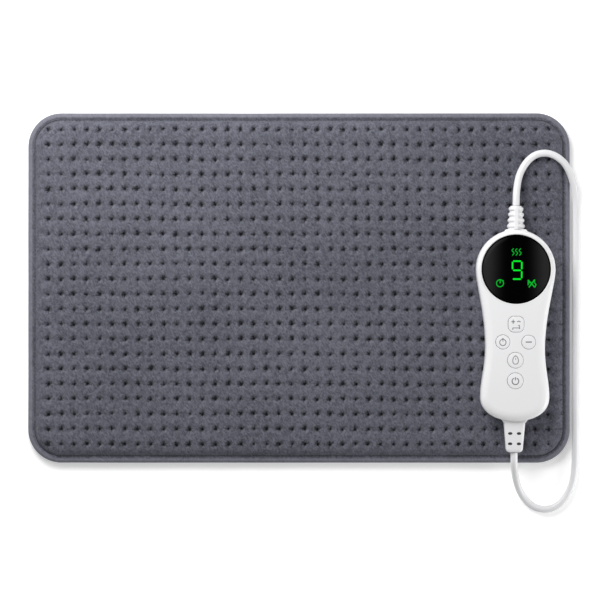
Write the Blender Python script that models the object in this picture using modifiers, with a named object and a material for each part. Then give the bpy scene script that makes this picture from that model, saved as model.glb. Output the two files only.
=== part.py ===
"""An electric heating pad: a quilted plush pad with its wired hand control lying on it.

The pad lies flat on z = 0 with its centre at the origin, long side along X. Its two covers are
sewn together inside a bound edge, and hold two layers of wadding with a heating wire between.
The hand control has two shells, a round display window and five push buttons. One lead runs from
its top boot, over the pad's edge and beside the pad, back to its bottom boot.
"""

import math

import bmesh
import bpy
from mathutils import Matrix, Vector

MM = 0.001
GAP = 0.3 * MM  # left between pieces that touch
BEYOND = 2 * MM  # how far a cutter runs past what it cuts

# Pad
PAD_WIDTH = 460 * MM
PAD_HEIGHT = 297 * MM
PAD_CORNER = 28.5 * MM
PAD_THICKNESS = 14 * MM
PAD_PARTING = 7.5 * MM  # height of the seam between the two covers
COVER_WALL = 2 * MM
FLOOR_WALL = 1.5 * MM
CROWN_ROUND = 5.8 * MM
BASE_ROUND = 3.6 * MM
BINDING_WIDTH = 6.5 * MM
BINDING_BOTTOM = 2.6 * MM
BINDING_TOP = 8.4 * MM
BINDING_ROUND = 2.2 * MM
LOWER_WADDING = 3 * MM
UPPER_WADDING = 1.6 * MM
WADDING_CLEAR = 1.3 * MM
CARRIER_THICKNESS = 0.6 * MM

# Heating wire and what is fixed beside it
WIRE_DIAMETER = 2.2 * MM
WIRE_PITCH = 26 * MM
WIRE_RETURN = 7 * MM  # from the cover's wall to the runs that lead back to the junction box
WIRE_MARGIN = 16 * MM  # from the cover's wall to the turns
CUTOUT_SIZE = (19 * MM, 6 * MM, 2.7 * MM)
SENSOR_SIZE = (9 * MM, 4 * MM, 2.4 * MM)
WIRE_CORNER = 6 * MM
SENSOR_ROUND = 0.5 * MM

# Where the lead's branch enters the pad
ENTRY_WIDTH = 9 * MM
ENTRY_THICKNESS = 3.2 * MM
ENTRY_MID = 4.9 * MM
ENTRY_REACH = -1 * MM  # it stops short of the pad's edge, inside the binding
ENTRY_ROUND = 0.5 * MM
ENTRY_FLANGE = 1.5 * MM
FLANGE_WIDER = 3 * MM
FLANGE_TALLER = 1.4 * MM
JUNCTION_LENGTH = 22 * MM
JUNCTION_WIDTH = 18 * MM
JUNCTION_WALL = 1.2 * MM
JUNCTION_CORNER = 2.5 * MM
JUNCTION_PARTING = 5 * MM
JUNCTION_TOP = 9.5 * MM

# Hand control, in its own frame: u across, v towards its head, h up from its back
CONTROL_FROM_EDGE = 47.1 * MM  # from the pad's right edge to the head's centre
CONTROL_UP = 15.7 * MM
CONTROL_TURN = math.radians(-0.5)
CONTROL_HEIGHT = 22 * MM
CONTROL_PARTING = 10 * MM
SHELL_WALL = 2.2 * MM
BACK_WALL = 2 * MM
FACE_WALL = 2 * MM
FRONT_ROUND = 4.6 * MM
REAR_ROUND = 3 * MM
HEAD_RADIUS = 33.4 * MM
WAIST_HALF = 25 * MM
WAIST_DOWN = 66 * MM
HIP_HALF = 29 * MM
HIP_DOWN = 108 * MM
TAIL_DOWN = 128 * MM
LENS_RADIUS = 29.25 * MM
LENS_THICKNESS = 2.4 * MM
LENS_SUNK = 0.1 * MM
LEDGE_WIDTH = 2.6 * MM
LEDGE_THICKNESS = 2 * MM

# Push buttons: name, u, v, width; the first is a rounded square and the rest are round
BUTTONS = [
    ("plus", 0.3 * MM, -46.3 * MM, 13.4 * MM),
    ("timer", -10.8 * MM, -61.4 * MM, 12 * MM),
    ("minus", 11 * MM, -61.4 * MM, 12 * MM),
    ("mode", 0 * MM, -76.7 * MM, 13.4 * MM),
    ("power", 0 * MM, -94 * MM, 13.6 * MM),
]
SQUARE_CORNER = 4.8 * MM
BUTTON_TRAVEL = 0.6 * MM
BUTTON_PROUD = 0.25 * MM
BUTTON_ROUND = 0.5 * MM
BUTTON_FLANGE = 0.9 * MM
FLANGE_THICKNESS = 1.2 * MM
STEM_RADIUS = 1.5 * MM
STEM_IN_SWITCH = 1.2 * MM

# Circuit board and what stands on it
BOARD_WIDTH = 36 * MM
BOARD_HEAD_END = 20 * MM
BOARD_TAIL_END = -99 * MM
BOARD_UNDERSIDE = 8 * MM
BOARD_THICKNESS = 1.6 * MM
BOARD_POSTS = [(-14 * MM, -8 * MM), (14 * MM, -8 * MM), (-14 * MM, -90 * MM), (14 * MM, -90 * MM)]
BOARD_POST_RADIUS = 1.8 * MM
SWITCH_SIDE = 6 * MM
SWITCH_HEIGHT = 3.5 * MM
DISPLAY_WIDTH = 36 * MM
DISPLAY_LENGTH = 34 * MM

# Screws
HEAD_SCREWS = [(-24 * MM, 12 * MM), (24 * MM, 12 * MM)]
TAIL_SCREWS = [(-20.5 * MM, -107 * MM), (20.5 * MM, -107 * MM)]
REAR_BOSS_RADIUS = 4.2 * MM
FRONT_BOSS_RADIUS = 3.3 * MM
SCREW_RADIUS = 1.3 * MM
SCREW_HEAD_RADIUS = 2.6 * MM
SCREW_HEAD_HEIGHT = 1.6 * MM
SCREW_SUNK = 3 * MM
SCREW_IN_FRONT = 4.5 * MM

# Cord clamps
CLAMP_FROM_WALL = 9.5 * MM
CLAMP_SIZE = (18 * MM, 5 * MM, 4.6 * MM)
CLAMP_SCREW_OFF = 6.3 * MM
CLAMP_SCREW_RADIUS = 0.9 * MM
CLAMP_SCREW_HEAD = 1.9 * MM
CLAMP_SCREW_LENGTH = 8.5 * MM
CLAMP_POST_RADIUS = 2.3 * MM

# Lead and its boots
LEAD_RADIUS = 3 * MM
LEAD_STEP = 13 * MM
LEAD_IN_CONTROL = 3.5 * MM  # past the clamp, towards the board
BOOT_NECK = 5.4 * MM
BOOT_COLLAR = 6.6 * MM
COLLAR_DOWN = 3.9 * MM  # from the shell's outside to the collar
COLLAR_THICKNESS = 2 * MM
TOP_BOOT_LENGTH = 19.8 * MM
TOP_BOOT_RADII = (7.85 * MM, 6 * MM)
TOP_BOOT_GROOVES = 4
GROOVE_DEPTH = 1 * MM
BOTTOM_BOOT_LENGTH = 26.2 * MM
BOTTOM_BOOT_WIDTHS = (18.4 * MM, 14.4 * MM)
BOTTOM_BOOT_THICKNESS = 11 * MM
BOTTOM_BOOT_ROUND = 3.5 * MM
SLOT_SIZE = (3.6 * MM, 2.3 * MM)
SLOT_DEPTH = 1.3 * MM
SLOTS = [(u * MM, v * MM) for u in (-3.7, 3.7) for v in (-10.2, -18.9)]

CONTROL_BACK = PAD_THICKNESS + GAP
BOARD_TOP = BOARD_UNDERSIDE + BOARD_THICKNESS
FACE_UNDERSIDE = CONTROL_HEIGHT - FACE_WALL
LENS_TOP = CONTROL_HEIGHT - LENS_SUNK
LENS_UNDERSIDE = LENS_TOP - LENS_THICKNESS
LEDGE_TOP = LENS_UNDERSIDE - GAP
ROOM_ON_BOARD = LEDGE_TOP - LEDGE_THICKNESS - BOARD_TOP - 2 * GAP
ROOM_UNDER_BOARD = BOARD_UNDERSIDE - BACK_WALL - 2 * GAP
COVER_INSET = BINDING_WIDTH + GAP
CAVITY_INSET = COVER_INSET + COVER_WALL
CAVITY_TOP = PAD_THICKNESS - COVER_WALL
CAVITY_END = PAD_WIDTH / 2 - CAVITY_INSET
WIRE_ROOM = PAD_HEIGHT - 2 * CAVITY_INSET - WIRE_PITCH
WIRE_PAIRS = math.floor((WIRE_ROOM / WIRE_PITCH + 1) / 2)
WIRE_ROWS = 2 * WIRE_PAIRS - 2 + 2 * (WIRE_PAIRS % 2)  # an odd number of pairs, so no turn meets the box
CARRIER_TOP = FLOOR_WALL + LOWER_WADDING + CARRIER_THICKNESS + 2 * GAP

# The lead's own points from the top boot to the bottom boot, in millimetres: (x from the pad's
# right edge, y, height). It lies on the pad's top, drops over the bound edge, runs along the
# surface and rises again. The points are for the thickness and radius given here; other values
# move them.
ROUTE_PAD_THICKNESS = 14 * MM
ROUTE_LEAD_RADIUS = 3 * MM
ROUTE_BESIDE = 4.9 * MM  # where it runs beside the pad
ROUTE_ON_SURFACE = 3.1 * MM
ROUTE_ON_PAD = 17.4 * MM
ROUTE_AT_BOOT = 24.3 * MM
LEAD_ROUTE = [
    (-46.63, 69.5, 24.3), (-46.58, 75.0, 24.2), (-46.0, 83.2, 22.4), (-44.1, 93.4, 19.2),
    (-40.7, 101.4, 17.7), (-35.5, 108.4, 17.4), (-29.3, 112.7, 17.4), (-22.2, 114.1, 17.4),
    (-15.3, 112.7, 17.4), (-9.3, 109.2, 17.1), (-4.5, 104.4, 15.6), (-0.7, 98.0, 12.9),
    (2.0, 90.8, 9.9), (3.8, 83.2, 6.8), (4.7, 74.7, 4.4), (4.9, 64.5, 3.3),
    (4.9, 40.7, 3.1), (4.9, -10.2, 3.1), (4.9, -61.1, 3.1), (4.9, -112.0, 3.1),
    (4.7, -141.7, 3.1), (4.1, -154.5, 3.1), (2.6, -163.8, 3.1), (-0.2, -171.9, 3.1),
    (-4.4, -178.9, 3.1), (-9.8, -184.2, 3.1), (-16.1, -187.3, 3.1), (-22.7, -188.0, 3.1),
    (-29.3, -186.3, 3.1), (-35.2, -182.3, 3.5), (-40.1, -176.6, 5.2), (-43.6, -170.0, 8.4),
    (-46.2, -162.0, 13.4), (-47.6, -154.8, 18.7), (-48.3, -148.6, 22.7), (-48.4, -144.0, 24.2),
    (-48.44, -139.25, 24.3),
]


def start_scene():
    for old in list(bpy.data.objects):
        bpy.data.objects.remove(old)
    made = []
    for name in ("heating_pad", "cutters"):
        collection = bpy.data.collections.new(name)
        bpy.context.scene.collection.children.link(collection)
        made.append(collection)
    return made


PARTS, CUTTERS = start_scene()


def finish_of(name, colour, roughness, metallic=0.0):
    material = bpy.data.materials.new(name)
    material.use_nodes = True
    shader = material.node_tree.nodes["Principled BSDF"]
    shader.inputs["Base Color"].default_value = (*colour, 1)
    shader.inputs["Roughness"].default_value = roughness
    shader.inputs["Metallic"].default_value = metallic
    return material


PLUSH = finish_of("plush", (0.13, 0.13, 0.17), 0.95)
BINDING = finish_of("binding", (0.16, 0.16, 0.20), 0.9)
WADDING = finish_of("wadding", (0.80, 0.79, 0.76), 1.0)
WIRE_JACKET = finish_of("wire_jacket", (0.75, 0.72, 0.68), 0.5)
WHITE = finish_of("white_shell", (0.80, 0.80, 0.80), 0.35)
WHITE_SOFT = finish_of("white_soft", (0.82, 0.82, 0.82), 0.5)
BLACK_LENS = finish_of("black_lens", (0.004, 0.004, 0.004), 0.08)
BOARD_GREEN = finish_of("board", (0.02, 0.16, 0.06), 0.5)
DARK_PART = finish_of("dark_part", (0.03, 0.03, 0.035), 0.5)
FILM_PART = finish_of("film_part", (0.75, 0.50, 0.06), 0.5)
TERMINAL = finish_of("terminal", (0.05, 0.22, 0.10), 0.5)
FUSE_GLASS = finish_of("fuse_glass", (0.75, 0.78, 0.78), 0.1)
STEEL = finish_of("screw_steel", (0.62, 0.62, 0.64), 0.35, 1.0)


# Outlines

def arc(centre, radius, start, end, steps):
    """Points round an arc between two angles in degrees."""
    turns = [math.radians(start + (end - start) * i / steps) for i in range(steps + 1)]
    return [(centre[0] + radius * math.cos(t), centre[1] + radius * math.sin(t)) for t in turns]


def circle(radius, steps=28, centre=(0, 0)):
    return arc(centre, radius, 0, 360, steps)[:-1]


def rounded_rectangle(width, height, radius, steps=5):
    points = []
    for quarter, (sx, sy) in enumerate(((1, 1), (-1, 1), (-1, -1), (1, -1))):
        centre = (sx * (width / 2 - radius), sy * (height / 2 - radius))
        points += arc(centre, radius, 90 * quarter, 90 * quarter + 90, steps)
    return points


def pad_outline(inset=0.0):
    return rounded_rectangle(PAD_WIDTH - 2 * inset, PAD_HEIGHT - 2 * inset, PAD_CORNER - inset, 7)


def bezier(a, b, c, d, steps):
    points = []
    for i in range(steps):
        t = i / steps
        shares = ((1 - t) ** 3, 3 * t * (1 - t) ** 2, 3 * t * t * (1 - t), t**3)
        points.append(tuple(sum(s * p[k] for s, p in zip(shares, (a, b, c, d))) for k in (0, 1)))
    return points


def control_outline(inset=0.0, steps=6):
    """The hand control's plan, drawn in by a distance: round head, slim waist, wide tail."""
    bulge = 0.5523 * HEAD_RADIUS
    head = (0, HEAD_RADIUS)
    cheek = (HEAD_RADIUS, 0)
    waist = (WAIST_HALF, -WAIST_DOWN)
    hip = (HIP_HALF, -HIP_DOWN)
    tail = (0, -TAIL_DOWN)
    spans = [
        (head, (bulge, HEAD_RADIUS), (HEAD_RADIUS, bulge), cheek),
        (cheek, (HEAD_RADIUS, -0.18 * WAIST_DOWN), (WAIST_HALF, -0.58 * WAIST_DOWN), waist),
        (waist, (WAIST_HALF, -WAIST_DOWN - 18 * MM), (HIP_HALF, -HIP_DOWN + 14 * MM), hip),
        (hip, (HIP_HALF, -HIP_DOWN - 11.5 * MM), (18.5 * MM, -TAIL_DOWN), tail),
    ]
    right = [point for span in spans for point in bezier(*span, steps)] + [tail]
    outline = right + [(-x, y) for x, y in reversed(right[1:-1])]
    drawn_in = []
    for i, (x, y) in enumerate(outline):
        before = outline[i - 1]
        after = outline[(i + 1) % len(outline)]
        along = Vector((after[0] - before[0], after[1] - before[1])).normalized()
        drawn_in.append((x + along.y * inset, y - along.x * inset))
    return drawn_in


def button_outline(name, width, grow=0.0):
    if name == "plus":
        return rounded_rectangle(width + 2 * grow, width + 2 * grow, SQUARE_CORNER + grow, 4)
    return circle(width / 2 + grow, 24)


# Meshes

def finished(bm, name="shape"):
    mesh = bpy.data.meshes.new(name)
    bm.to_mesh(mesh)
    bm.free()
    mesh.shade_smooth()
    mesh.set_sharp_from_angle(angle=math.radians(40))
    return mesh


def bmesh_from_curve(curve):
    """A curve object's solid, with its loose caps welded."""
    holder = bpy.data.objects.new("holder", curve)
    PARTS.objects.link(holder)
    bpy.context.view_layer.update()
    solid = bpy.data.meshes.new_from_object(holder.evaluated_get(bpy.context.evaluated_depsgraph_get()))
    bpy.data.objects.remove(holder)
    bm = bmesh.new()
    bm.from_mesh(solid)
    bmesh.ops.remove_doubles(bm, verts=bm.verts, dist=0.001 * MM)
    return bm


def plate_mesh(outlines, bottom, top, rounds=(), segments=3):
    """A flat plate between two heights; a second outline is a hole. Each of rounds is
    (height, width): the outer edges at that height are rounded by that width."""
    curve = bpy.data.curves.new("outline", "CURVE")
    curve.dimensions = "2D"
    curve.fill_mode = "BOTH"
    curve.extrude = (top - bottom) / 2
    for outline in outlines:
        spline = curve.splines.new("POLY")
        spline.points.add(len(outline) - 1)
        for point, (x, y) in zip(spline.points, outline):
            point.co = (x, y, 0, 1)
        spline.use_cyclic_u = True
    bm = bmesh_from_curve(curve)
    bmesh.ops.translate(bm, verts=bm.verts, vec=(0, 0, (top + bottom) / 2))
    bmesh.ops.dissolve_limit(bm, angle_limit=math.radians(0.5), verts=bm.verts, edges=bm.edges)
    bmesh.ops.recalc_face_normals(bm, faces=bm.faces)
    for height, width in rounds:
        rim = [edge for edge in bm.edges if on_outer_rim(edge, height, outlines)]
        bmesh.ops.bevel(bm, geom=rim, offset=width, segments=segments, profile=0.5, affect="EDGES")
    return finished(bm)


def on_outer_rim(edge, height, outlines):
    if any(abs(vert.co.z - height) > 0.01 * MM for vert in edge.verts):
        return False
    if edge.calc_face_angle(0) < math.radians(45):
        return False
    if len(outlines) == 1:
        return True
    hole = [Vector(point) for point in outlines[1]]
    return all(min((vert.co.xy - point).length for point in hole) > 0.01 * MM for vert in edge.verts)


def box_mesh(size, round_by=0.0):
    bm = bmesh.new()
    bmesh.ops.create_cube(bm, size=1)
    bmesh.ops.scale(bm, vec=size, verts=bm.verts)
    if round_by:
        bmesh.ops.bevel(bm, geom=bm.edges[:], offset=round_by, segments=2, profile=0.5, affect="EDGES")
    return finished(bm)


def rod_mesh(radius, length, segments=20, along="Z"):
    """A cylinder centred on its own origin."""
    bm = bmesh.new()
    bmesh.ops.create_cone(
        bm, cap_ends=True, segments=segments, radius1=radius, radius2=radius, depth=length
    )
    if along == "Y":
        bmesh.ops.rotate(bm, cent=(0, 0, 0), matrix=Matrix.Rotation(math.pi / 2, 3, "X"), verts=bm.verts)
    return finished(bm)


def tube_mesh(points, radius, sides_level=2):
    """A capped tube along a polyline."""
    curve = bpy.data.curves.new("tube", "CURVE")
    curve.dimensions = "3D"
    curve.bevel_depth = radius
    curve.bevel_resolution = sides_level
    curve.use_fill_caps = True
    spline = curve.splines.new("POLY")
    spline.points.add(len(points) - 1)
    for point, place in zip(spline.points, points):
        point.co = (*place, 1)
    bm = bmesh_from_curve(curve)
    bmesh.ops.recalc_face_normals(bm, faces=bm.faces)
    return finished(bm)


# Objects

def put(name, mesh, finish, at=(0, 0, 0), parent=None, turn=(0, 0, 0)):
    part = bpy.data.objects.new(name, mesh)
    part.location = at
    part.rotation_euler = turn
    part.parent = parent
    PARTS.objects.link(part)
    if finish:
        mesh.materials.clear()
        mesh.materials.append(finish)
    return part


def work(part, operation, mesh, at=(0, 0, 0)):
    """Cuts a tool out of a part, or joins it on; the tool lies in the part's parent's frame."""
    tool = bpy.data.objects.new(f"{part.name}_{operation.lower()}_{len(part.modifiers)}", mesh)
    tool.location = at
    tool.parent = part.parent
    tool.hide_render = True
    tool.display_type = "WIRE"
    CUTTERS.objects.link(tool)
    step = part.modifiers.new(operation.lower(), "BOOLEAN")
    step.operation = operation
    step.solver = "EXACT"
    step.object = tool


def cut(part, mesh, at=(0, 0, 0)):
    work(part, "DIFFERENCE", mesh, at)


def join(part, mesh, at=(0, 0, 0)):
    work(part, "UNION", mesh, at)


def turned(name, profile, finish, at, parent=None, turn=(0, 0, 0), steps=16, closed=False):
    """A profile of (radius, height) points, from top to bottom, turned about its own Z."""
    count = len(profile)
    edges = [(i, i + 1) for i in range(count - 1)] + ([(count - 1, 0)] if closed else [])
    mesh = bpy.data.meshes.new(name)
    mesh.from_pydata([(r, 0, h) for r, h in profile], edges, [])
    part = put(name, mesh, finish, at, parent, turn)
    screw = part.modifiers.new("turn", "SCREW")
    screw.steps = steps
    screw.render_steps = steps
    screw.use_merge_vertices = True
    screw.merge_threshold = 0.00001
    return part


# The pad

def make_covers():
    rounded_top = [(PAD_THICKNESS, CROWN_ROUND)]
    top = put("cover_top", plate_mesh([pad_outline(COVER_INSET)], PAD_PARTING + GAP / 2, PAD_THICKNESS,
                                      rounded_top), PLUSH)
    hollow = [(CAVITY_TOP, CROWN_ROUND - COVER_WALL)]
    cut(top, plate_mesh([pad_outline(CAVITY_INSET)], PAD_PARTING - BEYOND, CAVITY_TOP, hollow))
    rounded_base = [(0, BASE_ROUND)]
    bottom = put("cover_bottom", plate_mesh([pad_outline(COVER_INSET)], 0, PAD_PARTING - GAP / 2,
                                            rounded_base), PLUSH)
    cut(bottom, plate_mesh([pad_outline(CAVITY_INSET)], FLOOR_WALL, PAD_PARTING + BEYOND))
    cut(bottom, entry_slot(), entry_place())
    rounds = [(BINDING_BOTTOM, BINDING_ROUND), (BINDING_TOP, BINDING_ROUND)]
    plan = [pad_outline(), pad_outline(BINDING_WIDTH)]
    binding = put("edge_binding", plate_mesh(plan, BINDING_BOTTOM, BINDING_TOP, rounds, 2), BINDING)
    cut(binding, entry_slot(), entry_place())


def entry_slot():
    length = COVER_INSET + COVER_WALL + 2 * BEYOND
    return box_mesh((length, ENTRY_WIDTH + 2 * GAP, ENTRY_THICKNESS + 2 * GAP))


def entry_place():
    return ((PAD_WIDTH / 2 + CAVITY_END) / 2, 0, ENTRY_MID)


def junction_place():
    return CAVITY_END - ENTRY_FLANGE - 3 * GAP - JUNCTION_LENGTH / 2


def make_padding():
    inset = CAVITY_INSET + WADDING_CLEAR
    reach = PAD_WIDTH / 2 - inset - junction_place()
    room = box_mesh((2 * reach + 4 * GAP, JUNCTION_WIDTH + 4 * GAP, PAD_THICKNESS))
    lower = FLOOR_WALL + GAP
    carrier = lower + LOWER_WADDING + GAP
    upper = CARRIER_TOP + CUTOUT_SIZE[2] + 2 * GAP
    soft_edge = [(upper + UPPER_WADDING, CROWN_ROUND - COVER_WALL - GAP - WADDING_CLEAR)]
    layers = [
        ("wadding_lower", lower, lower + LOWER_WADDING, [], WADDING),
        ("wire_carrier", carrier, carrier + CARRIER_THICKNESS, [], WADDING),
        ("wadding_upper", upper, upper + UPPER_WADDING, soft_edge, WADDING),
    ]
    for name, bottom, top, rounds, finish in layers:
        rounds = [(height, min(width, 0.8 * (top - bottom))) for height, width in rounds]
        layer = put(name, plate_mesh([pad_outline(inset)], bottom, top, rounds, 2), finish)
        cut(layer, room, (junction_place(), 0, PAD_THICKNESS / 2))


def make_heating_wire():
    """Rows along X joined by half turns, with both ends led back to the junction box."""
    height = CARRIER_TOP + GAP + WIRE_DIAMETER / 2
    turn = WIRE_PITCH / 2
    right = CAVITY_END - WIRE_MARGIN - turn
    back = CAVITY_END - WIRE_RETURN
    lowest = -WIRE_PITCH * (WIRE_ROWS - 1) / 2
    corner = WIRE_CORNER
    path = [(back, -JUNCTION_WIDTH / 2 - 4 * GAP)]
    path += arc((back - corner, lowest + corner), corner, 0, -90, 3)
    for row in range(WIRE_ROWS - 1):
        y = lowest + WIRE_PITCH * (row + 0.5)
        if row % 2:
            path += arc((right, y), turn, -90, 90, 5)
        else:
            path += arc((-right, y), turn, 270, 90, 5)
    path += arc((back - corner, -lowest - corner), corner, 90, 0, 3)
    path.append((back, JUNCTION_WIDTH / 2 + 4 * GAP))
    put("heating_wire", tube_mesh([(x, y, height) for x, y in path], WIRE_DIAMETER / 2), WIRE_JACKET)


def make_pad_sensors():
    """Two thermal cut-outs, a thermal fuse and a temperature sensor, between the wire's rows."""
    base = CARRIER_TOP + GAP
    rows = [
        ("cutout_left", -WIRE_PITCH * 4, CUTOUT_SIZE, DARK_PART, -1),
        ("cutout_right", WIRE_PITCH * 4, CUTOUT_SIZE, DARK_PART, 1),
        ("thermal_fuse", WIRE_PITCH, CUTOUT_SIZE, STEEL, 2),
        ("temperature_sensor", -WIRE_PITCH, SENSOR_SIZE, DARK_PART, 0),
    ]
    for name, x, size, finish, row in rows:
        put(name, box_mesh(size, SENSOR_ROUND), finish, (x, WIRE_PITCH * row, base + size[2] / 2))


def make_entry():
    """The moulded entry through the pad's edge, and the two halves of the junction box behind it."""
    inner = CAVITY_END - GAP - ENTRY_FLANGE
    outer = PAD_WIDTH / 2 + ENTRY_REACH
    entry = put(
        "lead_entry", box_mesh((outer - inner, ENTRY_WIDTH, ENTRY_THICKNESS), ENTRY_ROUND), DARK_PART,
        ((inner + outer) / 2, 0, ENTRY_MID),
    )
    flange = (ENTRY_FLANGE, ENTRY_WIDTH + FLANGE_WIDER, ENTRY_THICKNESS + FLANGE_TALLER)
    join(entry, box_mesh(flange), (inner + ENTRY_FLANGE / 2, 0, ENTRY_MID))
    x = junction_place()
    plan = rounded_rectangle(JUNCTION_LENGTH, JUNCTION_WIDTH, JUNCTION_CORNER, 2)
    inside = rounded_rectangle(
        JUNCTION_LENGTH - 2 * JUNCTION_WALL, JUNCTION_WIDTH - 2 * JUNCTION_WALL,
        JUNCTION_CORNER - JUNCTION_WALL, 2,
    )
    floor = FLOOR_WALL + GAP
    base = put("junction_base", plate_mesh([plan], floor, JUNCTION_PARTING - GAP / 2), DARK_PART, (x, 0, 0))
    cut(base, plate_mesh([inside], floor + JUNCTION_WALL, JUNCTION_PARTING + BEYOND), (x, 0, 0))
    cover = plate_mesh([plan], JUNCTION_PARTING + GAP / 2, JUNCTION_TOP)
    lid = put("junction_lid", cover, DARK_PART, (x, 0, 0))
    cut(lid, plate_mesh([inside], JUNCTION_PARTING - BEYOND, JUNCTION_TOP - JUNCTION_WALL), (x, 0, 0))


# The hand control

def control_frame():
    frame = bpy.data.objects.new("control_frame", None)
    frame.location = (PAD_WIDTH / 2 - CONTROL_FROM_EDGE, CONTROL_UP, CONTROL_BACK)
    frame.rotation_euler = (0, 0, CONTROL_TURN)
    PARTS.objects.link(frame)
    return frame


def rod_between(radius, low, high, segments=16):
    """A rod's mesh between two heights, for joining or cutting at a (u, v) place."""
    bm = bmesh.new()
    bmesh.ops.create_cone(
        bm, cap_ends=True, segments=segments, radius1=radius, radius2=radius, depth=high - low
    )
    bmesh.ops.translate(bm, verts=bm.verts, vec=(0, 0, (low + high) / 2))
    return finished(bm)


def clamp_places():
    top = HEAD_RADIUS - CLAMP_FROM_WALL
    bottom = -TAIL_DOWN + CLAMP_FROM_WALL + BOOT_COLLAR
    return {"top": top, "bottom": bottom}


def cut_boot_holes(shell):
    reach = COLLAR_DOWN + BEYOND
    hole = rod_mesh(BOOT_NECK + GAP, 2 * reach, 20, "Y")
    for v in (HEAD_RADIUS, -TAIL_DOWN):
        cut(shell, hole, (0, v, CONTROL_PARTING))


def make_rear_shell(frame):
    top = CONTROL_PARTING - GAP / 2
    whole = plate_mesh([control_outline()], 0, top, [(0, REAR_ROUND)])
    shell = put("rear_shell", whole, WHITE, parent=frame)
    cut(shell, plate_mesh([control_outline(SHELL_WALL)], BACK_WALL, top + BEYOND))
    foot = BACK_WALL / 2
    shoulder = SCREW_SUNK + SCREW_HEAD_HEIGHT + GAP
    for u, v in HEAD_SCREWS + TAIL_SCREWS:
        join(shell, rod_between(REAR_BOSS_RADIUS, foot, top, 20), (u, v, 0))
        cut(shell, rod_between(SCREW_HEAD_RADIUS + GAP, -BEYOND, shoulder), (u, v, 0))
        cut(shell, rod_between(SCREW_RADIUS + GAP, foot, top + BEYOND, 12), (u, v, 0))
    for u, v in BOARD_POSTS:
        join(shell, rod_between(BOARD_POST_RADIUS, foot, BOARD_UNDERSIDE - GAP, 12), (u, v, 0))
    post_top = CONTROL_PARTING - 2 * GAP
    for v in clamp_places().values():
        for side in (-1, 1):
            u = side * CLAMP_SCREW_OFF
            join(shell, rod_between(CLAMP_POST_RADIUS, foot, post_top, 12), (u, v, 0))
            cut(shell, rod_between(CLAMP_SCREW_RADIUS + GAP, BACK_WALL, post_top + BEYOND, 8), (u, v, 0))
    cut_boot_holes(shell)


def make_front_shell(frame):
    bottom = CONTROL_PARTING + GAP / 2
    outer = plate_mesh([control_outline()], bottom, CONTROL_HEIGHT, [(CONTROL_HEIGHT, FRONT_ROUND)], 4)
    shell = put("front_shell", outer, WHITE, parent=frame)
    cut(shell, plate_mesh([control_outline(SHELL_WALL)], bottom - BEYOND, FACE_UNDERSIDE))
    window = circle(LENS_RADIUS - LEDGE_WIDTH, 40)
    ledge = [circle(HEAD_RADIUS - SHELL_WALL / 2, 40), window]
    join(shell, plate_mesh(ledge, LEDGE_TOP - LEDGE_THICKNESS, FACE_UNDERSIDE + FACE_WALL / 2))
    cut(shell, plate_mesh([circle(LENS_RADIUS + GAP, 40)], LEDGE_TOP, CONTROL_HEIGHT + BEYOND))
    cut(shell, plate_mesh([window], LEDGE_TOP - 2 * LEDGE_THICKNESS, LEDGE_TOP + BEYOND))
    for name, u, v, width in BUTTONS:
        plan = button_outline(name, width, GAP)
        hole = plate_mesh([plan], FACE_UNDERSIDE - BEYOND, CONTROL_HEIGHT + BEYOND)
        cut(shell, hole, (u, v, 0))
    pilot_top = CONTROL_PARTING + SCREW_IN_FRONT + 2 * GAP
    boss_tops = 2 * [LEDGE_TOP - LEDGE_THICKNESS / 2] + 2 * [FACE_UNDERSIDE + FACE_WALL / 2]
    for (u, v), top in zip(HEAD_SCREWS + TAIL_SCREWS, boss_tops):
        join(shell, rod_between(FRONT_BOSS_RADIUS, bottom, top), (u, v, 0))
        cut(shell, rod_between(SCREW_RADIUS + GAP, bottom - BEYOND, pilot_top, 12), (u, v, 0))
    cut_boot_holes(shell)


def make_case_screws(frame):
    tip = CONTROL_PARTING + SCREW_IN_FRONT
    under_head = SCREW_SUNK + SCREW_HEAD_HEIGHT
    profile = [
        (0, tip), (0.6 * SCREW_RADIUS, tip), (SCREW_RADIUS, tip - SCREW_RADIUS), (SCREW_RADIUS, under_head),
        (SCREW_HEAD_RADIUS, under_head), (SCREW_HEAD_RADIUS, SCREW_SUNK + 0.4 * MM),
        (SCREW_HEAD_RADIUS - 0.4 * MM, SCREW_SUNK), (0, SCREW_SUNK),
    ]
    for i, (u, v) in enumerate(HEAD_SCREWS + TAIL_SCREWS, 1):
        turned(f"case_screw_{i}", profile, STEEL, (u, v, 0), frame, steps=12)


def make_display(frame):
    rounds = [(LENS_TOP, 0.4 * MM)]
    disc = plate_mesh([circle(LENS_RADIUS, 40)], LENS_UNDERSIDE, LENS_TOP, rounds, 1)
    put("display_lens", disc, BLACK_LENS, parent=frame)
    low = BOARD_TOP + GAP
    high = LENS_UNDERSIDE - GAP
    put("led_display", box_mesh((DISPLAY_WIDTH, DISPLAY_LENGTH, high - low)), DARK_PART,
        (0, 0, (low + high) / 2), frame)


def make_board(frame):
    length = BOARD_HEAD_END - BOARD_TAIL_END
    middle = (BOARD_HEAD_END + BOARD_TAIL_END) / 2
    outline = [(x, y + middle) for x, y in rounded_rectangle(BOARD_WIDTH, length, 2 * MM, 2)]
    put("circuit_board", plate_mesh([outline], BOARD_UNDERSIDE, BOARD_TOP), BOARD_GREEN, parent=frame)


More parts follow.
